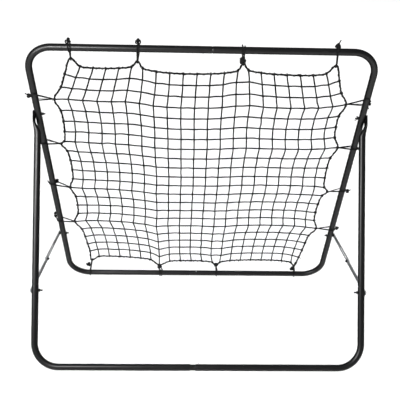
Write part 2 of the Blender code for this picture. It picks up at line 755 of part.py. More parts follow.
def build_rope(pts):
    bm = bmesh.new()
    sides = 6
    rings = []
    count = len(pts)
    for k, p in enumerate(pts):
        t0 = p - pts[k - 1]
        t1 = pts[(k + 1) % count] - p
        t0 = t0 / np.linalg.norm(t0)
        t1 = t1 / np.linalg.norm(t1)
        b = t0 + t1
        b = b / np.linalg.norm(b)
        stretch = min(1.0 / max(float(b @ t0), 0.3), 1.6)
        out = np.array([b[1], -b[0]])
        rings.append(ring(bm, [net_point(*(p + out * ROPE_R * stretch * math.cos(a)),
                                         ROPE_R * math.sin(a))
                               for a in [(q + 0.5) * 2 * PI / sides for q in range(sides)]]))
    skin(bm, rings, closed=True)
    return add("border_rope", bm, **CORD_M)


def build_tie(name, side, along, idx, apex, knot, line):
    f = tie_frame_point(side, along)
    ax, as_ = apex
    d = Vector((f[0] - ax, f[1] - as_))
    dist = d.length
    d.normalize()
    a_dir = EX * d.x + NET_S * d.y
    b_dir = NET_N
    w_dir = a_dir.cross(b_dir)
    cosg = abs(d.y) if side in ("top", "bottom") else abs(d.x)
    bis, reach, keep = hook(line, apex)
    b_in = EX * float(bis[0]) + NET_S * float(bis[1])
    rs = 0.0051
    rb = TUBE_R * KV / math.cos(math.radians(13)) + 0.0003 + TIE_R
    psi = math.acos(max(min((rs - rb) / dist, 1.0), -1.0))
    origin = net_point(ax, as_)
    st = []  # (a, b, normal angle, half thickness, half width)

    def big(theta, grow=0.0, r=TIE_R):
        st.append((dist + (rb + grow) * math.cos(theta) / cosg, (rb + grow) * math.sin(theta), theta, r, r))

    if side == "bottom":
        down = -LEAN
        drop = APO + REAR_LIFT - 0.000575
        for q in (-psi, down - math.radians(62), down - math.radians(39)):
            big(q)
        for sg in (-1, 1):
            st.append((dist + (drop * math.cos(down) - sg * 0.0023 * math.sin(down)) / cosg,
                       drop * math.sin(down) + sg * 0.0023 * math.cos(down), down, 0.000575, 0.0032))
        for q in (down + math.radians(39), down + math.radians(64), down + math.radians(90), psi):
            big(q)
    elif knot == "far":
        for q in (-psi, -math.radians(78), -math.radians(52), -math.radians(27)):
            big(q)
        big(math.radians(-17), 0.0040, 0.0055)
        big(0.0, 0.0056, 0.0070)
        big(math.radians(17), 0.0040, 0.0055)
        for q in (math.radians(27), math.radians(52), math.radians(78), psi):
            big(q)
    else:
        steps = 8
        for k in range(steps + 1):
            big(-psi + 2 * psi * k / steps)
    # the strand back to the rope, with its knot
    p0 = Vector((dist + rb * math.cos(psi) / cosg, rb * math.sin(psi)))
    p1 = Vector((0.0, rs))
    if knot in ("mid", "near"):
        c = 0.45 if knot == "mid" else 0.22
        length = (p1 - p0).length
        for off, r in ((-0.0075, 0.0030), (-0.0035, 0.0056), (0.0035, 0.0056), (0.0075, 0.0030)):
            q = p0 + (p1 - p0) * (c + off / length)
            lift = 0.0030 if knot == "near" and abs(off) < 0.005 else 0.0
            st.append((q.x, q.y + lift, psi, r, r))
    bm = bmesh.new()
    rings = []
    hexagon = ((1, 0), (0.5, 1), (-0.5, 1), (-1, 0), (-0.5, -1), (0.5, -1))
    for a, b, th, t, w in st:
        c = origin + a_dir * a + b_dir * b
        if w > t:                          # pressed flat between the bar and the floor
            nrm, wd = Vector((0.0, 0.0, -1.0)), EX
        else:
            nrm, wd = a_dir * math.cos(th) + b_dir * math.sin(th), w_dir
        rings.append(ring(bm, [c + nrm * (t * y) + wd * (w * x) for x, y in hexagon]))
    # round the rope, crossing the net's plane inside the corner
    w_in = (-b_in).cross(b_dir)
    for k in range(5):
        t = PI / 2 + PI * k / 4
        into, up = -math.cos(t), math.sin(t)
        c = origin + b_in * (into * reach) + b_dir * (rs * up)
        nrm = b_in * into + b_dir * up
        wd = (w_dir * (1 - into) + w_in * into).normalized()
        rings.append(ring(bm, [c + nrm * (TIE_R * y) + wd * (TIE_R * x) for x, y in hexagon]))
    skin(bm, rings, closed=True)
    return add(name, bm, **CORD_M)


# ---------------------------------------------------------------- build
c_half("net_frame_left", -1)
c_half("net_frame_right", 1)
upper_leg("upper_leg_left", -1)
upper_leg("upper_leg_right", 1)
lower_leg("lower_leg_left", -1)
lower_leg("lower_leg_right", 1)

top0 = frame_point(NET_S, 0, -NET_TOP)
low0 = frame_point(NET_S, 0, NET_LOW)
foot0 = frame_point(LEG_S, 0, LEG_LEN)
button("top_bar_button", top0, NET_S, EX)
clip("top_bar_clip", top0, NET_S, EX)
button("rear_bar_button", low0, -NET_S, EX)
clip("rear_bar_clip", low0, -NET_S, EX)
button("floor_bar_button", foot0, -LEG_S, EX)
clip("floor_bar_clip", foot0, -LEG_S, EX)

FACE_NET = APO                         # net frame tube, from its centre line
GAP = 0.0003
Y_REAR = STAY_S * math.sin(LEAN)
REAR_IN, REAR_OUT = 0.6300, 0.6325
FRONT_IN, FRONT_OUT = 0.6270, 0.6295
TRAVEL = 2 * STAY_S * (math.sin(LEAN) - math.sin(LEAN - math.radians(FOLD_DEG / 2)))
for sx, tag in ((-1, "left"), (1, "right")):
    out = EX * sx
    # pivot
    p = PIVOT + out * H
    tab_out = H + APO + 0.0020 + TAB_T
    bolt("pivot_bolt_" + tag, p, out, tab_out - H + GAP, 0.5870 - H)
    washer("pivot_washer_" + tag, p, out, APO + GAP, APO + 0.0020 - GAP)
    turn = math.radians(54.3 if sx < 0 else 21.6)
    wing_nut("wing_nut_" + tag, p, out, -APO - GAP, NET_S * math.cos(turn) + NET_N * math.sin(turn))
    # stay, rear end on the net frame
    p = frame_point(NET_S, sx * H, STAY_S)
    bolt("rear_stay_bolt_" + tag, p, out, REAR_OUT + GAP - H, 0.5880 - H)
    washer("rear_stay_spacer_" + tag, p, out, APO + GAP, REAR_IN - GAP - H, 0.0060)
    nut("rear_stay_nut_" + tag, p, out, -APO - GAP, -APO - GAP - 0.0050)
    ob = bar("rear_stay_bar_" + tag, REAR_IN, REAR_OUT, sx, -OVERLAP + 0.012, Y_REAR)
    c = slot_cutter(sx, 0.0, TRAVEL + 0.0004, 0.0034)
    cylinder(c, stay_point(sx * 0.620, Y_REAR), stay_point(sx * 0.640, Y_REAR), HOLE_R)
    cut(ob, c)
    # stay, front end on the leg
    xl = LEG_SPAN / 2
    p = frame_point(LEG_S, sx * xl, STAY_S)
    bolt("leg_bolt_" + tag, p, out, FRONT_OUT + GAP - xl, 0.5870 - xl)
    nut("leg_nut_" + tag, p, out, -APO - GAP, -APO - GAP - 0.0050)
    ob = bar("front_stay_bar_" + tag, FRONT_IN, FRONT_OUT, sx, -Y_REAR, OVERLAP - 0.012)
    c = bmesh.new()
    for y in (-Y_REAR, 0.0):
        cylinder(c, stay_point(sx * 0.620, y), stay_point(sx * 0.640, y), HOLE_R)
    cut(ob, c)
    # the fastener that slides in the slot
    p = stay_point(sx * 0.6282, 0.0)
    bolt("slide_bolt_" + tag, p, out, REAR_OUT + GAP - 0.6282, 0.6190 - 0.6282)
    nut("slide_nut_" + tag, p, out, FRONT_IN - GAP - 0.6282, FRONT_IN - GAP - 0.0045 - 0.6282)

pulls = []
for side, along, idx, apex, knot in TIES:
    f = tie_frame_point(side, along)
    d = np.array([apex[0] - f[0], apex[1] - f[1]])
    pulls.append(d / np.linalg.norm(d) * EDGE_PULL)
for again in range(3):
    net_pos, net_extra = relaxed_net(pulls)
    rope_line = edge_line(net_pos, net_extra)
    pulls = [hook(rope_line, t[3])[0] * hook(rope_line, t[3])[2] for t in TIES]
net_pos, net_extra = relaxed_net(pulls)
rope_line = edge_line(net_pos, net_extra)
build_net(net_pos, net_extra)
build_rope(rope_line)
counters = {"top": 0, "right": 0, "bottom": 0, "left": 0}
for side, along, idx, apex, knot in TIES:
    counters[side] += 1
    build_tie("tie_%s_%d" % (side, counters[side]), side, along, idx, apex, knot, rope_line)


# ---------------------------------------------------------------- origins on the axes they turn about
def axis_empty(name, point, parent=None):
    e = bpy.data.objects.new(name, None)
    e.empty_display_size = 0.05
    bpy.context.collection.objects.link(e)
    e.parent = parent
    e.location = point - (Vector(parent["at"]) if parent else Vector((0.0, 0.0, 0.0)))
    e["at"] = point
    return e


def hang(parent, names, point=None):
    """moves the origin of each object to the point, without moving its mesh, and parents it"""
    at = Vector(parent["at"])
    point = point or at
    for name in names:
        ob = bpy.data.objects[name]
        ob.data.transform(Matrix.Translation(-point))
        ob.parent = parent
        ob.location = point - at


net_axis = axis_empty("net_frame_axis", PIVOT)
leg_axis = axis_empty("leg_frame_axis", PIVOT)
hang(net_axis, ["net_frame_left", "net_frame_right", "net", "border_rope"])
hang(net_axis, ["tie_%s_%d" % (side, k) for side in counters for k in (1, 2, 3, 4)])
hang(net_axis, ["top_bar_button", "top_bar_clip"], top0)
hang(net_axis, ["rear_bar_button", "rear_bar_clip"], low0)
hang(leg_axis, ["floor_bar_button", "floor_bar_clip"], foot0)
for sx, tag in ((-1, "left"), (1, "right")):
    at_pivot = PIVOT + EX * (sx * H)
    at_rear = frame_point(NET_S, sx * H, STAY_S)
    at_leg = frame_point(LEG_S, sx * LEG_SPAN / 2, STAY_S)
    hang(net_axis, ["pivot_bolt_" + tag, "pivot_washer_" + tag, "wing_nut_" + tag], at_pivot)
    hang(net_axis, ["rear_stay_bolt_" + tag, "rear_stay_spacer_" + tag, "rear_stay_nut_" + tag], at_rear)
    hang(leg_axis, ["upper_leg_" + tag, "lower_leg_" + tag])
    hang(leg_axis, ["leg_bolt_" + tag, "leg_nut_" + tag], at_leg)
    rear_axis = axis_empty("rear_stay_axis_" + tag, at_rear, net_axis)
    front_axis = axis_empty("front_stay_axis_" + tag, at_leg, leg_axis)
    hang(rear_axis, ["rear_stay_bar_" + tag])
    hang(front_axis, ["front_stay_bar_" + tag, "slide_bolt_" + tag, "slide_nut_" + tag])
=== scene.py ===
"""Looks of the rebound net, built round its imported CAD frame.

Everything is in metres in the part's own frame: +Z up, the leg frame to the front (-Y). The driving
sizes and the routes of the net, the rope and the ties repeat those of the part's source.
"""
import math
import random

import bmesh
import bpy
import numpy as np
from mathutils import Matrix


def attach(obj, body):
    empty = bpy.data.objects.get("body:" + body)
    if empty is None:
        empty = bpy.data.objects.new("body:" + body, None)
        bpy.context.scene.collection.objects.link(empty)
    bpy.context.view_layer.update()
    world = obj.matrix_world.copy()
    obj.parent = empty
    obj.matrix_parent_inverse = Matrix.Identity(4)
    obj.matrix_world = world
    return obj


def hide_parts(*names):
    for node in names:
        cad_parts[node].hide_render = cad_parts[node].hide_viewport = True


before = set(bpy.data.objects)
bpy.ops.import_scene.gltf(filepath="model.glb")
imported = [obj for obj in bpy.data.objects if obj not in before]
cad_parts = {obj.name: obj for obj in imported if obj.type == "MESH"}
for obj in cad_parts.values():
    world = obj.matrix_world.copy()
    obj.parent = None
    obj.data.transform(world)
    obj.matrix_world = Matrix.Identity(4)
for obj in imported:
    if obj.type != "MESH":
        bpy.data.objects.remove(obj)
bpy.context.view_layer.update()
rng = random.Random(11)

# ---------------------------------------------------------------- sizes, as in the part
LEAN = math.radians(22.5)
SIDE = 1.225
LEG_SPAN = 1.2286
LEG_LEN = 0.948
NET_LOW = LEG_LEN - 0.0018 / math.cos(LEAN)
NET_TOP = SIDE - NET_LOW
BEND = 0.090
TUBE_R = 0.01245
WALL = 0.0012
MALE_R = 0.0110
APO = 0.0125 * 1.0130 * math.cos(math.pi / 16)
JOINT_X = 0.030
MALE_END = 0.048
LEG_JOINT = 0.6405
LEG_MALE = 0.700
STAY_S = 0.662
CELL = 0.050
CELLS = 21
SLACK_X = (0.0363, 0.0498, 0.0363)
SLACK_S = (0.0431, 0.0490, 0.0484)
ROPE_OFF = 0.0042
EDGE_SAG = 0.130
EDGE_SAG_LEFT = (0.048, 0.015)
EDGE_SAG_RIGHT = (0.064, 0.005)
CORNER_CELL = {0: 0.71, 2: 0.71, 8: 0.37, 10: 0.65}
TIE_R = 0.0023
ZP = LEG_LEN * math.cos(LEAN) + APO
H = SIDE / 2
PI = math.pi


def vec(*c):
    return np.array(c, float)


def unit(v):
    v = np.asarray(v, float)
    return v / np.linalg.norm(v)


EX = vec(1, 0, 0)
PIVOT = vec(0, -0.0020, ZP)
NET_S = vec(0, math.sin(LEAN), -math.cos(LEAN))
NET_N = vec(0, math.cos(LEAN), math.sin(LEAN))
LEG_S = vec(0, -math.sin(LEAN), -math.cos(LEAN))
LEG_N = vec(0, math.cos(LEAN), -math.sin(LEAN))

# side, place along that side, place along the net's edge in cells, where the tie meets the rope
TIES = [
    ("top", -0.4610, 0.0, (-0.4605, -0.2375)),
    ("top", -0.2205, 5.5, (-0.2285, -0.2300)),
    ("top", 0.1390, 13.5, (0.1430, -0.2285)),
    ("top", 0.4660, 21.0, (0.4715, -0.2265)),
    ("right", -0.0720, 3.0, (0.5400, -0.0625)),
    ("right", 0.1470, 7.0, (0.5480, 0.1430)),
    ("right", 0.3780, 11.5, (0.5520, 0.3850)),
    ("right", 0.6200, 16.0, (0.5410, 0.6150)),
    ("bottom", 0.4860, 21.0, (0.4760, 0.8880)),
    ("bottom", 0.1000, 12.5, (0.0955, 0.8930)),
    ("bottom", -0.1750, 7.0, (-0.1800, 0.8850)),
    ("bottom", -0.5220, 0.0, (-0.5030, 0.8530)),
    ("left", 0.5810, 16.0, (-0.5510, 0.5860)),
    ("left", 0.3615, 12.0, (-0.5430, 0.3765)),
    ("left", 0.1415, 7.3, (-0.5490, 0.1410)),
    ("left", -0.0740, 3.0, (-0.5425, -0.0660)),
]


# ---------------------------------------------------------------- materials
class Look:
    """a principled material and its nodes, all read in object space or along the piece's UVs"""

    def __init__(self, name):
        self.m = bpy.data.materials.new(name)
        self.m.use_nodes = True
        self.t = self.m.node_tree
        self.p = self.t.nodes["Principled BSDF"]
        self.co = self.t.nodes.new("ShaderNodeTexCoord")

    def node(self, kind, **values):
        n = self.t.nodes.new("ShaderNode" + kind)
        for k, v in values.items():
            if hasattr(n, k):
                setattr(n, k, v)
            else:
                n.inputs[k.replace("_", " ")].default_value = v
        return n

    def noise(self, scale, detail=2.0, rough=0.5, stretch=None, off=(0.0, 0.0, 0.0)):
        n = self.node("TexNoise")
        n.inputs["Scale"].default_value = scale
        n.inputs["Detail"].default_value = detail
        n.inputs["Roughness"].default_value = rough
        mp = self.node("Mapping")
        mp.inputs["Location"].default_value = off
        if stretch:
            mp.inputs["Scale"].default_value = stretch
        self.t.links.new(self.co.outputs["Object"], mp.inputs["Vector"])
        self.t.links.new(mp.outputs["Vector"], n.inputs["Vector"])
        return n.outputs["Fac"]

    def ramp(self, source, lo, hi, a=0.0, b=1.0):
        r = self.node("MapRange")
        r.inputs["From Min"].default_value = lo
        r.inputs["From Max"].default_value = hi
        r.inputs["To Min"].default_value = a
        r.inputs["To Max"].default_value = b
        r.clamp = True
        self.t.links.new(source, r.inputs["Value"])
        return r.outputs["Result"]

    def math(self, op, a, b=None):
        n = self.node("Math")
        n.operation = op
        for i, v in enumerate((a, b)):
            if v is None:
                continue
            if isinstance(v, (int, float)):
                n.inputs[i].default_value = v
            else:
                self.t.links.new(v, n.inputs[i])
        return n.outputs[0]

    def mix(self, fac, a, b):
        n = self.node("Mix")
        n.data_type = "RGBA"
        for name, v in (("Factor", fac), ("A", a), ("B", b)):
            socket = [s for s in n.inputs if s.name == name
                      and s.type == ("VALUE" if name == "Factor" else "RGBA")][0]
            if isinstance(v, tuple):
                socket.default_value = (*v, 1.0)
            else:
                self.t.links.new(v, socket)
        return [s for s in n.outputs if s.type == "RGBA"][0]

    def bump(self, source, strength, distance, after=None):
        n = self.node("Bump")
        n.inputs["Strength"].default_value = strength
        n.inputs["Distance"].default_value = distance
        self.t.links.new(source, n.inputs["Height"])
        if after is not None:
            self.t.links.new(after, n.inputs["Normal"])
        return n.outputs["Normal"]

    def put(self, source, socket):
        self.t.links.new(source, self.p.inputs[socket])


def powder_coat():
    k = Look("powder_coat_black")
    cloud = k.noise(9.0, 3.0)
    grain = k.noise(900.0, 2.0)
    fine = k.noise(2600.0, 1.0)
    flecks = k.ramp(k.noise(420.0, 4.0, 0.65), 0.70, 0.76)
    patch = k.ramp(k.noise(16.0, 3.0, 0.6, off=(3.1, 1.7, 0.4)), 0.50, 0.68)
    split = k.node("SeparateXYZ")
    k.t.links.new(k.co.outputs["Object"], split.inputs["Vector"])
    low = k.ramp(split.outputs["Z"], 0.002, 0.030, 1.0, 0.0)
    scrape = k.ramp(k.noise(160.0, 5.0, 0.7, stretch=(0.35, 1.0, 1.0)), 0.52, 0.70)
    wear = k.math("MAXIMUM", k.math("MULTIPLY", flecks, patch), k.math("MULTIPLY", low, scrape))
    base = k.mix(k.ramp(cloud, 0.3, 0.7), (0.0045, 0.0045, 0.0049), (0.0090, 0.0090, 0.0095))
    k.put(k.mix(k.math("MULTIPLY", wear, 0.45), base, (0.055, 0.054, 0.052)), "Base Color")
    rough = k.ramp(k.noise(60.0, 3.0), 0.25, 0.75, 0.30, 0.39)
    k.put(k.math("ADD", rough, k.math("MULTIPLY", wear, 0.22)), "Roughness")
    k.put(k.bump(fine, 0.10, 0.00008, k.bump(grain, 0.22, 0.00022)), "Normal")
    k.p.inputs["Specular IOR Level"].default_value = 0.5
    return k.m


def plated(name, dark, light, metallic, lo, hi):
    k = Look(name)
    k.p.inputs["Metallic"].default_value = metallic
    cells = k.node("TexVoronoi")
    cells.inputs["Scale"].default_value = 340.0
    k.t.links.new(k.co.outputs["Object"], cells.inputs["Vector"])
    grey = k.node("SeparateColor")
    k.t.links.new(cells.outputs["Color"], grey.inputs["Color"])
    blend = k.math("ADD", k.math("MULTIPLY", grey.outputs["Red"], 0.45), k.math("MULTIPLY", k.noise(120.0, 4.0), 0.6))
    k.put(k.mix(k.ramp(blend, 0.2, 0.85), dark, light), "Base Color")
    k.put(k.ramp(k.noise(210.0, 4.0, 0.6), 0.3, 0.7, lo, hi), "Roughness")
    lines = k.noise(700.0, 2.0, 0.5, stretch=(1.0, 0.12, 1.0))
    k.put(k.bump(k.noise(1500.0, 2.0), 0.12, 0.00006, k.bump(lines, 0.10, 0.00008)), "Normal")
    return k.m


def fibre(name, dark, light, rough, scale, sheen):
    """twisted cord: the strands are geometry, and this adds its loose fibres"""
    k = Look(name)
    fuzz = k.noise(scale, 3.0, 0.6)
    k.put(k.mix(k.ramp(k.math("ADD", k.math("MULTIPLY", fuzz, 0.6), k.math("MULTIPLY", k.noise(35.0, 3.0), 0.5)),
                       0.35, 0.8), dark, light), "Base Color")
    k.put(k.ramp(k.noise(300.0, 2.0), 0.3, 0.7, rough - 0.06, rough + 0.06), "Roughness")
    k.put(k.bump(fuzz, 0.5, 0.00025), "Normal")
    k.p.inputs["Sheen Weight"].default_value = sheen
    k.p.inputs["Sheen Roughness"].default_value = 0.5
    k.p.inputs["Specular IOR Level"].default_value = 0.22
    return k.m


def sheath(name):
    """the woven cover of elastic cord: two crossing sets of yarns along the cord's UVs"""
    k = Look(name)
    split = k.node("SeparateXYZ")
    k.t.links.new(k.co.outputs["UV"], split.inputs["Vector"])
    round_it = k.math("MULTIPLY", split.outputs["X"], 2 * PI * 6)
    along = k.math("MULTIPLY", split.outputs["Y"], 2 * PI / 0.0030)
    one = k.math("SINE", k.math("ADD", round_it, along))
    two = k.math("SINE", k.math("SUBTRACT", round_it, along))
    weave = k.math("MULTIPLY", one, two)
    fuzz = k.noise(2600.0, 2.0)
    k.put(k.mix(k.ramp(k.math("ADD", weave, k.math("MULTIPLY", fuzz, 0.8)), -0.6, 1.4),
                (0.0036, 0.0036, 0.0039), (0.0115, 0.0115, 0.0120)), "Base Color")
    k.put(k.ramp(k.noise(400.0, 2.0), 0.3, 0.7, 0.68, 0.80), "Roughness")
    k.put(k.bump(fuzz, 0.25, 0.00012, k.bump(weave, 0.55, 0.00022)), "Normal")
    k.p.inputs["Sheen Weight"].default_value = 0.05
    k.p.inputs["Specular IOR Level"].default_value = 0.22
    return k.m


POWDER = powder_coat()
BRIGHT = plated("zinc_plated_steel", (0.36, 0.37, 0.385), (0.50, 0.51, 0.52), 0.45, 0.34, 0.50)
DARK = plated("black_zinc_steel", (0.012, 0.012, 0.013), (0.032, 0.032, 0.034), 0.55, 0.34, 0.48)
TWINE = fibre("net_twine", (0.0040, 0.0040, 0.0043), (0.0135, 0.0135, 0.0140), 0.84, 2600.0, 0.05)
ROPE = fibre("border_rope_fibre", (0.0042, 0.0042, 0.0045), (0.0140, 0.0140, 0.0145), 0.86, 2100.0, 0.05)
ELASTIC = sheath("elastic_sheath")


# ---------------------------------------------------------------- meshes
class Shell:
    """collects rings of points into one piece"""

    def __init__(self):
        self.v, self.f, self.uv, self.count = [], [], [], 0

    def grid(self, rings, along=False, caps=True, lengths=None):
        rings = np.asarray(rings, float)
        m, n, _ = rings.shape
        base = self.count
        self.v.append(rings.reshape(-1, 3))
        self.count += m * n
        i, k = np.meshgrid(np.arange(m if along else m - 1), np.arange(n), indexing="ij")
        quads = np.stack([base + i * n + k, base + i * n + (k + 1) % n,
                          base + ((i + 1) % m) * n + (k + 1) % n, base + ((i + 1) % m) * n + k], -1)
        self.f += quads.reshape(-1, 4).tolist()
        le = np.arange(m + 1) * 0.001 if lengths is None else np.append(lengths, lengths[-1] + 0.001)
        u0, u1, v0, v1 = k / n, (k + 1) / n, le[i], le[i + 1]
        self.uv.append(np.stack([np.stack([u0, v0], -1), np.stack([u1, v0], -1),
                                 np.stack([u1, v1], -1), np.stack([u0, v1], -1)], -2).reshape(-1, 2))
        if caps and not along:
            for q, ring in ((0, list(range(base + n - 1, base - 1, -1))),
                            (m - 1, list(range(base + (m - 1) * n, base + m * n)))):
                self.f.append(ring)
                self.uv.append(np.full((n, 2), 0.5))

    def make(self, name, material=None, sharp=35.0):
        me = bpy.data.meshes.new(name)
        me.from_pydata(np.concatenate(self.v).tolist(), [], self.f)
        layer = me.uv_layers.new(name="UVMap")
        layer.data.foreach_set("uv", np.concatenate(self.uv).astype(np.float32).ravel())
        bm = bmesh.new()
        bm.from_mesh(me)
        bmesh.ops.recalc_face_normals(bm, faces=bm.faces)
        bm.to_mesh(me)
        bm.free()
        me.shade_smooth()
        if sharp:
            me.set_sharp_from_angle(angle=math.radians(sharp))
        ob = bpy.data.objects.new(name, me)
        bpy.context.scene.collection.objects.link(ob)
        if material:
            me.materials.append(material)
        return ob


def settle(ob, tools, operation="DIFFERENCE"):
    """joins or cuts closed tools into the piece for good"""
    cutter = tools.make("tool_" + ob.name, None, None)
    mod = ob.modifiers.new("tool", "BOOLEAN")
    mod.operation = operation
    mod.solver = "EXACT"
    mod.object = cutter
    me = bpy.data.meshes.new_from_object(ob.evaluated_get(bpy.context.evaluated_depsgraph_get()))
    ob.modifiers.clear()
    old, ob.data = ob.data, me
    name = old.name
    bpy.data.meshes.remove(old)
    me.name = name
    bpy.data.objects.remove(cutter)
    me.shade_smooth()
    me.set_sharp_from_angle(angle=math.radians(35))
    return ob


def circle(centre, u, v, r, n=24, turn=0.5):
    a = (np.arange(n) + turn) * 2 * PI / n
    return centre + r * (np.outer(np.cos(a), u) + np.outer(np.sin(a), v))


def across(axis):
    ref = vec(0, 0, 1) if abs(axis[2]) < 0.9 else vec(1, 0, 0)
    u = unit(np.cross(axis, ref))
    return u, np.cross(axis, u)


def rod(shell, a, b, r, n=24):
    u, v = across(unit(b - a))
    shell.grid([circle(a, u, v, r, n), circle(b, u, v, r, n)])


def place(obj, body, slot, *nodes):
    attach(obj, body)
    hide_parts(*nodes)
    return obj


# ---------------------------------------------------------------- tubes
SIDES = 48
ROUND = (np.arange(SIDES) + 0.5) * 2 * PI / SIDES


def frame_point(s_axis, x, s):
    return PIVOT + EX * x + s_axis * s


def tube_ring(st, s_axis, n_axis):
    x, s, ang, r, oval = st
    side = np.cross(EX * math.cos(ang) + s_axis * math.sin(ang), n_axis)
    return (frame_point(s_axis, x, s) + np.outer(np.cos(ROUND) * r * (1 - oval), side)
            + np.outer(np.sin(ROUND) * r * (1 + 0.35 * oval), n_axis))


def arc(cx, cs, a0, a1, r, steps=24):
    sign = 1.0 if a1 > a0 else -1.0
    out = []
    for i in range(steps + 1):
        f = i / steps
        a = a0 + (a1 - a0) * f
        flat = 0.028 * math.sin(PI * f) ** 0.7
        out.append((cx + BEND * math.cos(a), cs + BEND * math.sin(a), a + sign * PI / 2, r, flat))
    return out


def straight(a, b, ang, r, holes=()):
    """stations between two points (x, s), closer together round each hole"""
    a, b = np.array(a, float), np.array(b, float)
    length = float(np.linalg.norm(b - a))
    cuts = sorted(h + d for h in holes for d in (-0.011, -0.006, 0.006, 0.011) if 0.002 < h + d < length - 0.002)
    return [(*(a + (b - a) * (c / length)), ang, r, 0.0) for c in cuts]


SWAGE = ((0.0046, 0.0), (0.0038, 0.00006), (0.0030, 0.00030), (0.0022, 0.00070), (0.0014, 0.00112),
         (0.0008, 0.00136), (0.0002, TUBE_R - MALE_R))


def lip(x, s, ang, r):
    """a rolled outer edge: stations just inside a cut end, in the direction of travel"""
    dx, ds = math.cos(ang), math.sin(ang)
    return [(x + dx * d, s + ds * d, ang, r - c, 0.0) for d, c in ((0.0, 0.00040), (0.00010, 0.00018), (0.00030, 0.00004),
                                                                   (0.0006, 0.0))]


def swage(x, s, ang, thick):
    """the step down to the male end; (x, s) is where the outer tube's end meets it"""
    dx, ds = math.cos(ang), math.sin(ang)
    out = [(x - dx * d, s - ds * d, ang, TUBE_R - c - thick, 0.0) for d, c in SWAGE]
    return out


def male(x, s, ang, thick):
    dx, ds = math.cos(ang), math.sin(ang)
    return [(x - dx * d, s - ds * d, ang, MALE_R - c - thick, 0.0) for d, c in ((0.0007, 0.0), (0.0002, 0.00012), (0.0, 0.00035))]


def tube_piece(name, route, s_axis, n_axis, body, node, holes):
    """route(thick) gives the stations of a skin; the outer and the inner skin close at the ends"""
    outer = [tube_ring(st, s_axis, n_axis) for st in route(0.0)]
    inner = [tube_ring(st, s_axis, n_axis) for st in route(WALL)]
    shell = Shell()
    shell.grid(outer + inner[::-1], along=True)
    ob = shell.make(name, POWDER)
    tools = Shell()
    for a, b, r in holes:
        rod(tools, a, b, r)
    settle(ob, tools)
    return place(ob, body, "powder_coat", node)


def c_half(sx):
    tag = "left" if sx < 0 else "right"

    def route(thick):
        r = TUBE_R - thick
        if sx < 0:
            out = lip(JOINT_X, -NET_TOP, PI, r)
            out += straight((JOINT_X, -NET_TOP), (-H + BEND, -NET_TOP), PI, r, (JOINT_X,))
            out += arc(-H + BEND, -NET_TOP + BEND, -PI / 2, -PI, r)
            out += straight((-H, -NET_TOP + BEND), (-H, NET_LOW - BEND), PI / 2, r,
                            (NET_TOP - BEND, NET_TOP - BEND + STAY_S))
            out += arc(-H + BEND, NET_LOW - BEND, PI, PI / 2, r)
            return out + swage(-JOINT_X, NET_LOW, 0.0, thick) + male(MALE_END, NET_LOW, 0.0, thick)
        out = lip(-JOINT_X, NET_LOW, 0.0, r)
        out += straight((-JOINT_X, NET_LOW), (H - BEND, NET_LOW), 0.0, r, (JOINT_X,))
        out += arc(H - BEND, NET_LOW - BEND, PI / 2, 0.0, r)
        out += straight((H, NET_LOW - BEND), (H, -NET_TOP + BEND), -PI / 2, r,
                        (NET_LOW - BEND - STAY_S, NET_LOW - BEND))
        out += arc(H - BEND, -NET_TOP + BEND, 0.0, -PI / 2, r)
        return out + swage(JOINT_X, -NET_TOP, PI, thick) + male(-MALE_END, -NET_TOP, PI, thick)

    top, low = frame_point(NET_S, 0, -NET_TOP), frame_point(NET_S, 0, NET_LOW)
    holes = [(top + NET_S * 0.004, top + NET_S * 0.020, 0.0035), (low - NET_S * 0.004, low - NET_S * 0.020, 0.0035)]
    for s in (0.0, STAY_S):
        p = frame_point(NET_S, sx * H, s)
        holes.append((p - EX * 0.020, p + EX * 0.020, 0.0036))
    tube_piece("net_tube_" + tag, route, NET_S, NET_N, "net_frame", "net_frame_" + tag, holes)


def lower_leg(sx):
    tag = "left" if sx < 0 else "right"
    h = LEG_SPAN / 2

    def route(thick):
        r = TUBE_R - thick
        out = lip(sx * h, LEG_JOINT, PI / 2, r)
        out += straight((sx * h, LEG_JOINT), (sx * h, LEG_LEN - BEND), PI / 2, r, (STAY_S - LEG_JOINT,))
        if sx < 0:
            out += arc(-h + BEND, LEG_LEN - BEND, PI, PI / 2, r)
            return out + swage(-JOINT_X, LEG_LEN, 0.0, thick) + male(MALE_END, LEG_LEN, 0.0, thick)
        out += arc(h - BEND, LEG_LEN - BEND, 0.0, PI / 2, r)
        return out + straight((h - BEND, LEG_LEN), (-JOINT_X, LEG_LEN), PI, r, (h - BEND,)) \
            + lip(-JOINT_X, LEG_LEN, 0.0, r)[::-1]

    low = frame_point(LEG_S, 0, LEG_LEN)
    p = frame_point(LEG_S, sx * h, STAY_S)
    tube_piece("leg_tube_low_" + tag, route, LEG_S, LEG_N, "leg_frame", "lower_leg_" + tag,
               [(low - LEG_S * 0.004, low - LEG_S * 0.020, 0.0035), (p - EX * 0.020, p + EX * 0.020, 0.0036)])


def squeezed(a, b, q, sx, x, s):
    """a tube pressed flat: half thickness a, half width b, q of the points on its round edges"""
    m = SIDES // 4
    t = (np.arange(m) + 0.5) / m
    flat = max(b - a, 0.0)
    ang = np.clip((t - (1 - q)) / q, 0, 1) * PI / 2
    on_flat = t < 1 - q
    qx = np.where(on_flat, a, a * np.cos(ang))
    qy = np.where(on_flat, flat * t / max(1 - q, 1e-6), flat + a * np.sin(ang))
    px = np.concatenate([qx, -qx[::-1], -qx, qx[::-1]])
    py = np.concatenate([qy, qy[::-1], -qy, -qy[::-1]])
    return frame_point(LEG_S, sx * x, s) + np.outer(px * sx, EX) + np.outer(py, LEG_N)


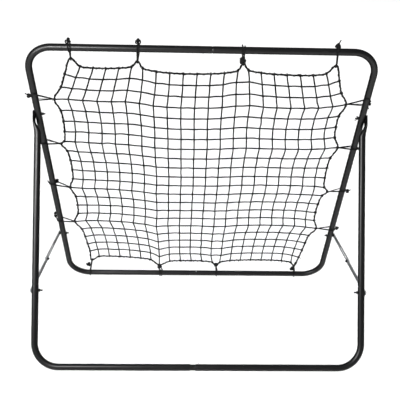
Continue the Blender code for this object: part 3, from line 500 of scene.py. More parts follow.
def upper_leg(sx):
    tag = "left" if sx < 0 else "right"
    h = LEG_SPAN / 2
    thin, wide = 0.0014, 0.0186
    tab_x = H + APO + 0.0020 + thin
    outer = []
    # the closed end: a seam where the two walls meet, then rounded corners
    for dep, a, b in ((0.0012, 0.00010, 0.0095), (0.0, 0.00016, 0.0098), (-0.00002, 0.0009, 0.0102)):
        outer.append(squeezed(a, b, 0.5, sx, tab_x, -0.0115 + dep))
    corner = 0.0080
    for d in (0.0003, 0.0009, 0.0018, 0.0030, 0.0044, 0.0060, corner):
        b = wide - corner + math.sqrt(corner ** 2 - (corner - d) ** 2)
        outer.append(squeezed(thin, b, 0.5, sx, tab_x, -0.0115 + d))
    for s in (0.0, 0.0060, 0.0110, 0.0180):
        outer.append(squeezed(thin, wide, 0.5, sx, tab_x, s))
    steps = 18
    for i in range(steps + 1):
        f = i / steps
        g = f * f * (3 - 2 * f)
        a = thin + (TUBE_R - thin) * g
        b = wide + (TUBE_R - wide) * f ** 0.95
        outer.append(squeezed(a, max(b, a), 0.5 + 0.5 * g ** 0.7 if i < steps else 1.0, sx,
                              tab_x + (h - tab_x) * g, 0.0235 + (0.0725 - 0.0235) * f))

    def rounds(stations):
        return [squeezed(r, r, 1.0, sx, h, s) for s, r in stations]

    outer += rounds([(0.10, TUBE_R), (LEG_JOINT - 0.0060, TUBE_R)])
    outer += rounds([(LEG_JOINT - d, TUBE_R - c) for d, c in SWAGE])
    outer += rounds([(STAY_S - 0.008, MALE_R), (STAY_S + 0.008, MALE_R), (LEG_MALE - 0.0007, MALE_R),
                     (LEG_MALE - 0.0002, MALE_R - 0.00012), (LEG_MALE, MALE_R - 0.00035)])
    bore = rounds([(LEG_MALE, MALE_R - WALL), (STAY_S, MALE_R - WALL), (LEG_JOINT + 0.003, MALE_R - WALL),
                   (LEG_JOINT - 0.008, TUBE_R - WALL), (0.080, TUBE_R - WALL), (0.071, TUBE_R - 0.0035),
                   (0.062, 0.0050)])
    shell = Shell()
    shell.grid(outer + bore)
    ob = shell.make("leg_tube_up_" + tag, POWDER)
    tools = Shell()
    for s, x in ((0.0, tab_x), (STAY_S, h)):
        p = frame_point(LEG_S, sx * x, s)
        rod(tools, p - EX * 0.020, p + EX * 0.020, 0.0036)
    settle(ob, tools)
    place(ob, "leg_frame", "powder_coat", "upper_leg_" + tag)


for side in (-1, 1):
    c_half(side)
    upper_leg(side)
    lower_leg(side)


# ---------------------------------------------------------------- fasteners
def turned(shell, centre, axis, profile, n=32, along=False):
    u, v = across(axis)
    shell.grid([circle(centre + axis * h, u, v, r, n, 0.0) for h, r in profile], along=along)


def threaded(shell, centre, axis, tip, start, plain_to, head, n=28):
    """a bolt in one skin: chamfered tip, rolled thread, plain shank and domed head.
    head: (distance of its seat, radius, height), all along the axis"""
    u, v = across(axis)
    a = np.arange(n) * 2 * PI / n
    rings = []
    pitch, deep, r = 0.0010, 0.00034, 0.0030
    up = 1.0 if head[0] > tip else -1.0

    def put(h, radii):
        rings.append(centre + axis * h + (np.cos(a) * radii)[:, None] * u + (np.sin(a) * radii)[:, None] * v)

    put(tip, np.full(n, r - 0.0009))
    put(tip + up * 0.0004, np.full(n, r - 0.00045))
    length = abs(start - tip) - 0.0008
    for k in range(int(length / pitch * 5) + 1):
        d = 0.0008 + k * pitch / 5
        wave = 0.5 - 0.5 * np.cos(2 * PI * (d / pitch) - a)
        fade = min(1.0, k / 5, (length - k * pitch / 5) / pitch * 0.8)
        put(tip + up * d, r - deep * max(fade, 0.0) * wave)
    put(start + up * 0.0004, np.full(n, r))
    put(plain_to, np.full(n, r))
    seat, hr, hh = head
    put(seat, np.full(n, r + 0.0002))
    put(seat, np.full(n, hr - 0.0003))
    for f in (0.02, 0.12, 0.30, 0.50, 0.70, 0.86, 0.96, 1.0):
        put(seat + up * hh * f, np.full(n, hr * math.sqrt(max(1.0 - f ** 2.3 * 0.97, 0.02))))
    shell.grid(rings)


def bolt(name, body, node, point, out, head_at, tip_at, thread=0.016, head=(0.0066, 0.0037)):
    shell = Shell()
    threaded(shell, point, out, tip_at, tip_at + math.copysign(thread, head_at - tip_at), head_at, (head_at, *head))
    return place(shell.make(name, DARK, 40), body, "black_zinc", node)


def hexagon(name, body, node, point, out, near, far, flats=0.0100, turn=0.0):
    """a chamfered nut with a threaded bore"""
    lo, hi = min(near, far), max(near, far)
    u, v = across(out)
    n = 72
    a = np.arange(n) * 2 * PI / n
    face = (flats / 2) / np.cos((a + turn + PI / 6) % (PI / 3) - PI / 6)
    rings = []

    def put(h, radii):
        rings.append(point + out * h + (np.cos(a) * radii)[:, None] * u + (np.sin(a) * radii)[:, None] * v)

    top = flats / 2 * 0.97
    for h, c in ((lo, 0.0), (lo + 0.00022, 0.00038), (lo + 0.00045, 0.00078), (lo + 0.0007, 0.0014), (lo + 0.0012, 0.003),
                 (hi - 0.0012, 0.003), (hi - 0.0007, 0.0014), (hi - 0.00045, 0.00078), (hi - 0.00022, 0.00038), (hi, 0.0)):
        put(h, np.minimum(face, top + c))
    k = 0
    h = hi
    while h > lo:
        put(h, np.full(n, 0.00345 if k == 0 else (0.00325 if k % 2 else 0.00310)))
        h -= 0.0005
        k += 1
    put(lo, np.full(n, 0.00345))
    shell = Shell()
    shell.grid(rings, along=True)
    return place(shell.make(name, DARK, 30), body, "black_zinc", node)


def flat_washer(name, body, node, point, out, a, b, r_out=0.0075):
    lo, hi = min(a, b), max(a, b)
    e = min(0.00025, (hi - lo) * 0.25)
    shell = Shell()
    turned(shell, point, out, [(lo, r_out - e), (lo + e, r_out), (hi - e, r_out), (hi, r_out - e),
                               (hi, 0.0034 + e), (hi - e, 0.0034), (lo + e, 0.0034), (lo, 0.0034 + e)], 40, along=True)
    return place(shell.make(name, DARK, 30), body, "black_zinc", node)


EAR = ((3.9, -0.9), (6.4, -1.3), (9.0, -2.2), (11.6, -3.7), (13.6, -5.9), (14.5, -8.6), (14.6, -11.2), (13.9, -12.4),
       (12.6, -12.6), (11.7, -11.4), (11.0, -9.0), (9.8, -6.8), (7.6, -5.2), (5.4, -4.6), (3.9, -4.4))


def wing_nut(tag, sx, wing):
    point, out = frame_point(NET_S, sx * H, 0.0), EX * sx
    base = -APO - 0.0003
    shell = Shell()
    turned(shell, point, out, [(base, 0.0054), (base - 0.0003, 0.0058), (base - 0.0012, 0.0058), (base - 0.0030, 0.0052),
                               (base - 0.0052, 0.0047), (base - 0.0070, 0.0045), (base - 0.0075, 0.0042),
                               (base - 0.0075, 0.0035), (base - 0.0071, 0.00315), (base - 0.0004, 0.00315), (base, 0.0035)],
           40, along=True)
    ob = shell.make("wing_nut_cast_" + tag, DARK, 40)
    side = unit(np.cross(out, wing))
    ears = Shell()
    pts = np.array(EAR) * 0.001
    mid = pts.mean(axis=0)
    for sg in (-1, 1):
        rings = []
        for t, k in ((-1.0, 0.86), (-0.8, 0.95), (-0.45, 1.0), (0.45, 1.0), (0.8, 0.95), (1.0, 0.86)):
            q = mid + (pts - mid) * k
            q[[0, -1], 0] = pts[[0, -1], 0]
            thick = 0.00135 - 0.00035 * (q[:, 0] - 0.0039) / 0.0106
            rings.append(point + np.outer(sg * q[:, 0], wing) + np.outer(base + q[:, 1], out) + np.outer(thick * t, side))
        ears.grid(rings)
    settle(ob, ears, "UNION")
    return place(ob, "wing_nut_" + tag, "black_zinc", "wing_nut_" + tag)


def stay_point(x, y, dz=0.0):
    return vec(x, PIVOT[1] + y, ZP - STAY_S * math.cos(LEAN) + dz)


def stay_bar(name, body, node, x_in, x_out, sx, y0, y1, slots):
    """a flat bar with round ends and eased edges; slots: (from, to, radius) along it"""
    outline = []
    for sg, y in ((1, y1 + 0.0020), (-1, y0 - 0.0020)):
        for k in range(17):
            a = math.radians(-90 + 180 * k / 16)
            outline.append((y, sg * math.cos(a), sg * math.sin(a)))
    e = 0.00045
    rings = []
    for x, inset in ((x_in, e), (x_in + e * 0.4, e * 0.3), (x_in + e, 0.0), (x_out - e, 0.0), (x_out - e * 0.4, e * 0.3),
                     (x_out, e)):
        rings.append([stay_point(sx * x, y + (0.0100 - inset) * cy, (0.0100 - inset) * cz) for y, cy, cz in outline])
    shell = Shell()
    shell.grid(rings)
    ob = shell.make(name, BRIGHT, 30)
    tools = Shell()
    for a, b, r in slots:
        path = []
        for sg, y in ((1, b), (-1, a)):
            for k in range(13):
                t = math.radians(-90 + 180 * k / 12)
                path.append((y + sg * r * math.cos(t), sg * r * math.sin(t)))
        tools.grid([[stay_point(sx * x, y, dz) for y, dz in path] for x in (0.620, 0.640)])
    settle(ob, tools)
    return place(ob, body, "zinc", node)


GAP = 0.0003
Y_REAR = STAY_S * math.sin(LEAN)
REAR_IN, REAR_OUT = 0.6300, 0.6325
FRONT_IN, FRONT_OUT = 0.6270, 0.6295
TRAVEL = 2 * STAY_S * (math.sin(LEAN) - math.sin(LEAN - math.radians(6.0)))
for sx, tag in ((-1, "left"), (1, "right")):
    out = EX * sx
    p = frame_point(NET_S, sx * H, 0.0)
    tab_out = APO + 0.0020 + 0.0028
    bolt("pivot_screw_" + tag, "net_frame", "pivot_bolt_" + tag, p, out, tab_out + GAP, 0.5870 - H)
    flat_washer("pivot_ring_" + tag, "net_frame", "pivot_washer_" + tag, p, out, APO + GAP, APO + 0.0020 - GAP)
    turn = math.radians(54.3 if sx < 0 else 21.6)
    wing_nut(tag, sx, NET_S * math.cos(turn) + NET_N * math.sin(turn))
    p = frame_point(NET_S, sx * H, STAY_S)
    bolt("rear_screw_" + tag, "net_frame", "rear_stay_bolt_" + tag, p, out, REAR_OUT + GAP - H, 0.5880 - H)
    flat_washer("rear_sleeve_" + tag, "net_frame", "rear_stay_spacer_" + tag, p, out, APO + GAP, REAR_IN - GAP - H, 0.0060)
    hexagon("rear_hex_" + tag, "net_frame", "rear_stay_nut_" + tag, p, out, -APO - GAP, -APO - GAP - 0.0050, turn=0.35)
    stay_bar("stay_slotted_" + tag, "rear_bar_" + tag, "rear_stay_bar_" + tag, REAR_IN, REAR_OUT, sx, -0.0030, Y_REAR,
             [(0.0, TRAVEL + 0.0004, 0.0034), (Y_REAR, Y_REAR + 0.00001, 0.0036)])
    xl = LEG_SPAN / 2
    p = frame_point(LEG_S, sx * xl, STAY_S)
    bolt("leg_screw_" + tag, "leg_frame", "leg_bolt_" + tag, p, out, FRONT_OUT + GAP - xl, 0.5870 - xl)
    hexagon("leg_hex_" + tag, "leg_frame", "leg_nut_" + tag, p, out, -APO - GAP, -APO - GAP - 0.0050, turn=0.8)
    stay_bar("stay_plain_" + tag, "front_bar_" + tag, "front_stay_bar_" + tag, FRONT_IN, FRONT_OUT, sx, -Y_REAR, 0.0030,
             [(-Y_REAR, -Y_REAR + 0.00001, 0.0036), (0.0, 0.00001, 0.0036)])
    p = stay_point(sx * 0.6282, 0.0)
    bolt("slide_screw_" + tag, "front_bar_" + tag, "slide_bolt_" + tag, p, out, REAR_OUT + GAP - 0.6282, 0.6190 - 0.6282,
         0.0075)
    hexagon("slide_hex_" + tag, "front_bar_" + tag, "slide_nut_" + tag, p, out, FRONT_IN - GAP - 0.6282,
            FRONT_IN - GAP - 0.0045 - 0.6282, turn=0.2)


def snap_button(name, body, node, origin, up):
    """spring leaf inside the swaged end, with its pin standing in the hole"""
    cross = np.cross(up, EX)
    shell = Shell()
    turned(shell, origin, up, [(0.0086, 0.00285), (0.0138, 0.00285), (0.01415, 0.00276), (0.01450, 0.00250),
                               (0.01478, 0.00205), (0.01495, 0.00140), (0.0150, 0.0006)], 28)
    ob = shell.make(name, BRIGHT, 40)
    leaf = Shell()
    ends = []
    for sg in (1, -1):
        for k in range(9):
            a = math.radians(-90 + 180 * k / 8)
            ends.append((sg * (0.0121 + 0.0029 * math.cos(a)), sg * 0.0029 * math.sin(a)))
    leaf.grid([[origin + up * h + EX * x * q + cross * y * q for x, y in ends]
               for h, q in ((0.0080, 0.97), (0.0081, 1.0), (0.0089, 1.0), (0.0090, 0.97))])
    settle(ob, leaf, "UNION")
    return place(ob, body, "zinc", node)


snap_button("top_snap", "top_button", "top_bar_button", frame_point(NET_S, 0, -NET_TOP), NET_S)
snap_button("rear_snap", "rear_button", "rear_bar_button", frame_point(NET_S, 0, NET_LOW), -NET_S)
snap_button("floor_snap", "floor_button", "floor_bar_button", frame_point(LEG_S, 0, LEG_LEN), -LEG_S)
for node in ("top_bar_clip", "rear_bar_clip", "floor_bar_clip"):
    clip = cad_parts[node]
    clip.data.materials.clear()
    clip.data.materials.append(BRIGHT)


# ---------------------------------------------------------------- the net's shape
def relaxed_net(pulls):
    """places of the 22 by 22 crossings (x, s) hung from the ties, by relaxing stretched cords"""
    n = CELLS + 1
    half = CELLS * CELL / 2
    mid = (-NET_TOP + NET_LOW) / 2
    gx, gs = np.meshgrid(np.linspace(-half, half, n), np.linspace(mid - half, mid + half, n),
                         indexing="ij")
    pos = np.stack([gx, gs], axis=2)
    extra, fixed = [], {}
    for (side, along, idx, (ax, as_)), pull in zip(TIES, pulls):
        p = np.array([ax, as_]) + pull
        i0 = int(math.floor(idx + 1e-9))
        if abs(idx - i0) < 1e-6:
            key = {"top": (i0, 0), "bottom": (i0, CELLS), "left": (0, i0), "right": (CELLS, i0)}[side]
            fixed[key] = p
        else:
            a, b = {"top": ((i0, 0), (i0 + 1, 0)), "bottom": ((i0, CELLS), (i0 + 1, CELLS)),
                    "left": ((0, i0), (0, i0 + 1)), "right": ((CELLS, i0), (CELLS, i0 + 1))}[side]
            extra.append((a, b, idx - i0, p))
    free = np.ones((n, n, 1))
    for (i, j), p in fixed.items():
        pos[i, j] = p
        free[i, j] = 0.0
    stiff_edge, stiff_short = 14.0, 0.08
    where = {"top": lambda q: q, "right": lambda q: CELLS + q,
             "bottom": lambda q: 3 * CELLS - q, "left": lambda q: 4 * CELLS - q}
    hooks = []
    for side, along, idx, apex in TIES:
        i0 = int(math.floor(idx + 1e-9))
        key = {"top": (i0, 0), "bottom": (i0, CELLS), "left": (0, i0), "right": (CELLS, i0)}[side]
        p = fixed[key] if abs(idx - i0) < 1e-6 else [e[3] for e in extra if e[0] == key][0]
        hooks.append((where[side](idx) % (4 * CELLS), p, idx in (0.0, 21.0)))
    per_cell = []
    for k, (u0, p0, c0) in enumerate(hooks):
        u1, p1, c1 = hooks[(k + 1) % len(hooks)]
        cells = (u1 - u0) % (4 * CELLS)
        if abs(p1[1] - p0[1]) > abs(p1[0] - p0[0]):
            sag = (EDGE_SAG_RIGHT if p0[0] > 0 else EDGE_SAG_LEFT)[1 if c0 or c1 else 0]
            small = 1.0
        else:
            sag = EDGE_SAG
            small = CORNER_CELL.get(k, 1.0)
        one = float(np.linalg.norm(p1 - p0)) * (1 + 8 / 3 * sag * sag) / (cells - 1 + small)
        per_cell += [(u0, u0 + 1, one * (small if c0 else 1.0)), (u0 + 1, u0 + cells - 1, one),
                     (u0 + cells - 1, u0 + cells, one * (small if c1 else 1.0))]

    def rest_at(u):
        for a, b, r in per_cell:
            if a <= u < b or a <= u + 4 * CELLS < b:
                return r
        return CELL

    kx = np.ones((n - 1, n))
    ky = np.ones((n, n - 1))
    rx = np.full((n - 1, n), SLACK_X[1])
    ry = np.full((n, n - 1), SLACK_S[1])
    rx[0], rx[-1] = SLACK_X[0], SLACK_X[2]
    ry[:, 0], ry[:, -1] = SLACK_S[0], SLACK_S[2]
    for i in range(n - 1):
        kx[i, 0] = kx[i, -1] = stiff_edge
        ky[0, i] = ky[-1, i] = stiff_edge
        rx[i, 0] = rest_at(i + 0.5)
        ry[-1, i] = rest_at(CELLS + i + 0.5)
        rx[i, -1] = rest_at(3 * CELLS - i - 0.5)
        ry[0, i] = rest_at(4 * CELLS - i - 0.5)
    for a, b, t, p in extra:
        if a[1] == b[1]:
            kx[a[0], a[1]] = 0.0
        else:
            ky[a[0], a[1]] = 0.0
    vel = np.zeros_like(pos)
    for step in range(6000):
        force = np.zeros_like(pos)
        for axis, k, rest in ((0, kx, rx), (1, ky, ry)):
            d = np.diff(pos, axis=axis)
            length = np.sqrt((d ** 2).sum(axis=2)) + 1e-12
            strain = length - rest
            push = np.where(strain > 0, 1.0, stiff_short)
            f = d * (k * push * strain / length)[:, :, None]
            if axis == 0:
                force[:-1] += f
                force[1:] -= f
            else:
                force[:, :-1] += f
                force[:, 1:] -= f
        for a, b, t, p in extra:
            if a[1] == b[1]:
                u = a[0] if a[1] == 0 else 3 * CELLS - a[0]
                sign = 1 if a[1] == 0 else -1
            else:
                u = CELLS + a[1] if a[0] == CELLS else 4 * CELLS - a[1]
                sign = 1 if a[0] == CELLS else -1
            for q, frac, v in ((a, t, u + sign * t * 0.5), (b, 1 - t, u + sign * (1 + t) * 0.5)):
                d = p - pos[q]
                length = math.sqrt(float((d ** 2).sum())) + 1e-12
                force[q] += stiff_edge / max(frac, 0.3) * (length - rest_at(v) * frac) * d / length
        vel = (vel * 0.97 + force * 0.012) * free
        pos = pos + vel
    return pos, extra


def edge_line(pos):
    """the rope's points (x, s) round the net, pulled out to each tie; and which crossing each one is"""
    n = CELLS + 1
    order = [(i, 0) for i in range(n)] + [(CELLS, j) for j in range(1, n)]
    order += [(i, CELLS) for i in range(n - 2, -1, -1)] + [(0, j) for j in range(n - 2, 0, -1)]
    apex, apex_mid = {}, {}
    for side, along, idx, at in TIES:
        i0 = int(math.floor(idx + 1e-9))
        if abs(idx - i0) < 1e-6:
            key = {"top": (i0, 0), "bottom": (i0, CELLS), "left": (0, i0), "right": (CELLS, i0)}[side]
            apex[key] = at
        else:
            a, b = {"top": ((i0, 0), (i0 + 1, 0)), "bottom": ((i0, CELLS), (i0 + 1, CELLS)),
                    "left": ((0, i0), (0, i0 + 1)), "right": ((CELLS, i0), (CELLS, i0 + 1))}[side]
            apex_mid[frozenset((a, b))] = at
    pts, names = [], []
    count = len(order)
    for k, q in enumerate(order):
        if q in apex:
            pts.append(np.array(apex[q]))
        else:
            a = pos[order[k - 1]]
            b = pos[order[(k + 1) % count]]
            t = (b - a) / np.linalg.norm(b - a)
            pts.append(pos[q] + np.array([t[1], -t[0]]) * ROPE_OFF)
        names.append(q)
        m = apex_mid.get(frozenset((q, order[(k + 1) % count])))
        if m is not None:
            pts.append(np.array(m))
            names.append(None)
    return pts, names


def hook(line, apex):
    """at a tie: unit vector from the rope's corner into the net, half the corner's angle, and how far
    inside it the net cord has to stay"""
    here = np.array(apex)
    at = min(range(len(line)), key=lambda k: float(np.hypot(*(line[k] - here))))
    e0 = unit(line[at - 1] - here)
    e1 = unit(line[(at + 1) % len(line)] - here)
    b = unit(e0 + e1)
    half_angle = math.acos(float(b @ e0))
    reach = 0.0022 / math.tan(half_angle) + 0.0025 / math.sin(half_angle) + 0.0004 + 0.0019
    return b, half_angle, reach + 0.0019 + 0.0008 + 0.0015 * 1.42


pulls = []
for side, along, idx, apex in TIES:
    f = {"top": (along, -NET_TOP), "bottom": (along, NET_LOW), "left": (-H, along), "right": (H, along)}[side]
    d = np.array([apex[0] - f[0], apex[1] - f[1]])
    pulls.append(d / np.linalg.norm(d) * 0.0110)
for again in range(3):
    net_pos, net_extra = relaxed_net(pulls)
    rope_line, rope_names = edge_line(net_pos)
    pulls = [hook(rope_line, t[3])[0] * hook(rope_line, t[3])[2] for t in TIES]
net_pos, net_extra = relaxed_net(pulls)
rope_line, rope_names = edge_line(net_pos)

SAG = 0.0040


def sag(x, s):
    """how far the slack middle of the net hangs towards the front"""
    mid = (NET_LOW - NET_TOP) / 2
    u = np.clip((np.asarray(x, float)) / 0.545, -1, 1)
    w = np.clip((np.asarray(s, float) - mid) / 0.560, -1, 1)
    return -SAG * np.cos(u * PI / 2) ** 0.8 * np.cos(w * PI / 2) ** 0.8


def net_points(xs, extra=0.0):
    xs = np.asarray(xs, float)
    lift = sag(xs[:, 0], xs[:, 1]) + extra
    return PIVOT + np.outer(xs[:, 0], EX) + np.outer(xs[:, 1], NET_S) + np.outer(lift, NET_N)


# ---------------------------------------------------------------- cords
def curve(points, step, closed=False):
    """an evenly spaced centripetal spline through the points"""
    p = np.asarray(points, float)
    q = np.vstack([p[-1], p, p[0], p[1]]) if closed else np.vstack([2 * p[0] - p[1], p, 2 * p[-1] - p[-2]])
    out = []
    for i in range(len(q) - 3):
        a, b, c, d = q[i:i + 4]
        t0 = 0.0
        t1 = t0 + max(np.linalg.norm(b - a), 1e-7) ** 0.5
        t2 = t1 + max(np.linalg.norm(c - b), 1e-7) ** 0.5
        t3 = t2 + max(np.linalg.norm(d - c), 1e-7) ** 0.5
        count = max(4, int(np.linalg.norm(c - b) / step * 1.5))
        t = np.linspace(t1, t2, count, endpoint=False)[:, None]
        a1 = (t1 - t) / (t1 - t0) * a + (t - t0) / (t1 - t0) * b
        a2 = (t2 - t) / (t2 - t1) * b + (t - t1) / (t2 - t1) * c
        a3 = (t3 - t) / (t3 - t2) * c + (t - t2) / (t3 - t2) * d
        b1 = (t2 - t) / (t2 - t0) * a1 + (t - t0) / (t2 - t0) * a2
        b2 = (t3 - t) / (t3 - t1) * a2 + (t - t1) / (t3 - t1) * a3
        out.append((t2 - t) / (t2 - t1) * b1 + (t - t1) / (t2 - t1) * b2)
    line = np.vstack(out + ([] if closed else [p[-1:]]))
    if closed:
        line = np.vstack([line, line[:1]])
    le = np.concatenate([[0], np.cumsum(np.linalg.norm(np.diff(line, axis=0), axis=1))])
    count = max(3, int(round(le[-1] / step)))
    at = np.linspace(0, le[-1], count + 1)
    if closed:
        at = at[:-1]
    return np.stack([np.interp(at, le, line[:, k]) for k in range(3)], axis=1), at


def tangents(line, closed):
    if closed:
        t = np.roll(line, -1, axis=0) - np.roll(line, 1, axis=0)
    else:
        t = np.gradient(line, axis=0)
    return t / (np.linalg.norm(t, axis=1)[:, None] + 1e-12)


def sweep(shell, line, lengths, radius, section, pitch, closed=False, ref=None, ends=None):
    """section: radii round the cord; pitch: length of one turn of its twist (0 for none).
    ref: a direction that the frames keep to; without it they are carried along the line"""
    t = tangents(line, closed)
    m, n = len(line), len(section)
    if ref is not None:
        b = np.cross(t, np.broadcast_to(ref, t.shape))
        b /= np.linalg.norm(b, axis=1)[:, None] + 1e-12
        a = np.cross(b, t)
        spare = np.zeros(m)
    else:
        a = np.zeros((m, 3))
        u = across(t[0])[0]
        for i in range(m):
            u = u - t[i] * float(u @ t[i])
            u = u / np.linalg.norm(u)
            a[i] = u
        b = np.cross(t, a)
        spare = np.zeros(m)
        if closed:
            w = a[-1] - t[0] * float(a[-1] @ t[0])
            w = w / np.linalg.norm(w)
            off = math.atan2(float(w @ b[0]), float(w @ a[0]))
            spare = -off * np.arange(m) / m
    twist = spare.copy()
    if pitch:
        turns = lengths / pitch
        if closed:
            total = lengths[-1] + float(np.linalg.norm(line[0] - line[-1]))
            turns = lengths / total * round(total / pitch)
        twist = twist + turns * 2 * PI
    ang = twist[:, None] + (np.arange(n) * 2 * PI / n)[None, :]
    r = (np.broadcast_to(radius, (m,)))[:, None] * np.asarray(section)[None, :]
    rings = line[:, None, :] + (r * np.cos(ang))[:, :, None] * a[:, None, :] + (r * np.sin(ang))[:, :, None] * b[:, None, :]
    shell.grid(rings, along=closed, lengths=lengths)


def rounded_ends(radius, lengths, r):
    """a melted, rounded tip at the ends given: radius along the cord with short tapers"""
    total = lengths[-1]
    d = np.minimum(lengths, total - lengths)
    return radius * np.sqrt(np.clip(1 - (1 - np.clip(d / r, 0, 1)) ** 2, 0.04, 1))


LAID = (1.0, 0.84, 1.0, 0.84, 1.0, 0.84)
LAID3 = (1.0, 0.93, 0.80) * 3
TWINE_R = 0.0033


def rope_at():
    """where each edge crossing's cord ends on the rope"""
    return {q: rope_line[k] for k, q in enumerate(rope_names) if q is not None}


ON_ROPE = rope_at()


def twine(shell, crossings, start, stop, level, seed):
    """one cord of the net through its crossings, from rope to rope"""
    r = random.Random(seed)
    pts, lift = [], []
    chain = [start] + [net_pos[q] for q in crossings] + [stop]
    for k, p in enumerate(chain):
        pts.append(p)
        lift.append(level * (1 if k % 2 else 0.7))
        if k + 1 < len(chain):
            nxt = chain[k + 1]
            d = nxt - p
            side = np.array([d[1], -d[0]]) / (np.linalg.norm(d) + 1e-9)
            pts.append((p + nxt) / 2 + side * r.gauss(0, 0.00055))
            lift.append(r.gauss(0, 0.0006))
    line, le = curve(net_points(pts, np.array(lift)), 0.0025)
    radius = TWINE_R * (1 + 0.05 * np.sin(le / 0.017 + seed))
    sweep(shell, line, le, radius, LAID, 0.026, ref=NET_N)


upright, level = Shell(), Shell()
for i in range(1, CELLS):
    twine(upright, [(i, j) for j in range(1, CELLS)], ON_ROPE[(i, 0)], ON_ROPE[(i, CELLS)], 0.0010, i)
for j in range(1, CELLS):
    twine(level, [(i, j) for i in range(1, CELLS)], ON_ROPE[(0, j)], ON_ROPE[(CELLS, j)], -0.0010, 100 + j)
place(upright.make("net_cords_upright", TWINE, None), "net_frame", "net_cord", "net")
place(level.make("net_cords_level", TWINE, None), "net_frame", "net_cord", "net")


def knot_wrap(shell, centre, du, dv, size, r, seed):
    """the tucked loop of a netting knot round a crossing"""
    g = random.Random(seed)
    turn = PI / 4 + g.gauss(0, 0.25)
    pts = []
    for k in range(9):
        a = 2 * PI * k / 9
        x, y = size * math.cos(a), size * 0.62 * math.sin(a)
        pts.append(centre + du * (x * math.cos(turn) - y * math.sin(turn)) + dv * (x * math.sin(turn) + y * math.cos(turn))
                   + NET_N * (0.0017 * math.sin(2 * a)))
    line, le = curve(pts, 0.0014, closed=True)
    sweep(shell, line, le, r, (1.0, 1.0, 1.0, 1.0, 1.0), 0, closed=True, ref=NET_N)


wraps = Shell()
for i in range(1, CELLS):
    for j in range(1, CELLS):
        c = net_points([net_pos[i, j]])[0]
        knot_wrap(wraps, c, EX, NET_S, 0.0027, 0.0013, i * 50 + j)
place(wraps.make("net_knots", TWINE, None), "net_frame", "net_cord", "net")

# ---------------------------------------------------------------- border rope and its lashing
ROPE_R = 0.0036
LASH_R = 0.0010
rope_curve, rope_len = curve(net_points(rope_line), 0.0017, closed=True)
rope = Shell()
sweep(rope, rope_curve, rope_len, ROPE_R * (1 + 0.05 * np.sin(rope_len / 0.031) + 0.04 * np.sin(rope_len / 0.0073)),
      LAID3, 0.020, closed=True, ref=NET_N)
place(rope.make("border_rope_laid", ROPE, None), "net_frame", "edge_rope", "border_rope")

total = rope_len[-1] + float(np.linalg.norm(rope_curve[0] - rope_curve[-1]))
g = random.Random(5)
knots = np.linspace(0, total, 61)
paces = np.array([g.uniform(0.75, 1.35) for _ in knots[:-1]])
paces = paces / paces.sum() * round(total / 0.024)
phase_at = np.concatenate([[0], np.cumsum(paces)]) * 2 * PI
s_at = np.arange(0, total, 0.0019)
centre = np.stack([np.interp(s_at, np.append(rope_len, total), np.append(rope_curve[:, k], rope_curve[0, k])) for k in range(3)], 1)
t = tangents(centre, True)
b = unit(NET_N)
side = np.cross(t, b)
side /= np.linalg.norm(side, axis=1)[:, None]
ph = np.interp(s_at, knots, phase_at)
reach = ROPE_R + LASH_R * 0.5
coil = centre + side * (np.cos(ph) * reach)[:, None] + b[None, :] * (np.sin(ph) * reach)[:, None]
lash = Shell()
le = np.concatenate([[0], np.cumsum(np.linalg.norm(np.diff(coil, axis=0), axis=1))])
sweep(lash, coil, le, LASH_R, (1.0, 0.9, 1.0, 0.9, 1.0, 0.9), 0.012, closed=True)
place(lash.make("border_lashing", ROPE, None), "net_frame", "edge_rope", "border_rope")


# knots of the net's cords on the rope, with short tails here and there
def overhand(shell, centre, size, r, seed, section=(1.0,) * 8, axes=None):
    """a trefoil curve: the pulled-up form of an overhand knot"""
    g = random.Random(seed)
    if axes is None:
        e1 = unit([g.gauss(0, 1), g.gauss(0, 1), g.gauss(0, 1)])
        e2, e3 = across(e1)
    else:
        e1, e2, e3 = axes
    pts = []
    for k in range(30):
        a = 2 * PI * k / 30
        x = math.sin(a) + 2 * math.sin(2 * a)
        y = math.cos(a) - 2 * math.cos(2 * a)
        z = -math.sin(3 * a) * 1.15
        pts.append(centre + size * (e2 * x + e3 * y + e1 * z))
    line, le = curve(pts, r * 0.8, closed=True)
    sweep(shell, line, le, r, section, 0, closed=True)


TOWARDS = unit(vec(-0.03, -0.93, 0.37))


def core(shell, centre, r):
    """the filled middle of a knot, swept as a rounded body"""
    pts = [centre + TOWARDS * r * 0.62 * f for f in np.linspace(-0.98, 0.98, 9)]
    line, le = curve(pts, r * 0.08)
    u = np.clip(2 * le / le[-1] - 1, -0.995, 0.995)
    sweep(shell, line, le, r * np.sqrt(1 - (u * 0.98) ** 2), (1.0,) * 12, 0)


def tail(shell, points, r, section=(1.0,) * 8, step=0.0012):
    line, le = curve(points, step)
    sweep(shell, line, le, rounded_ends(r, le, r), section, 0)


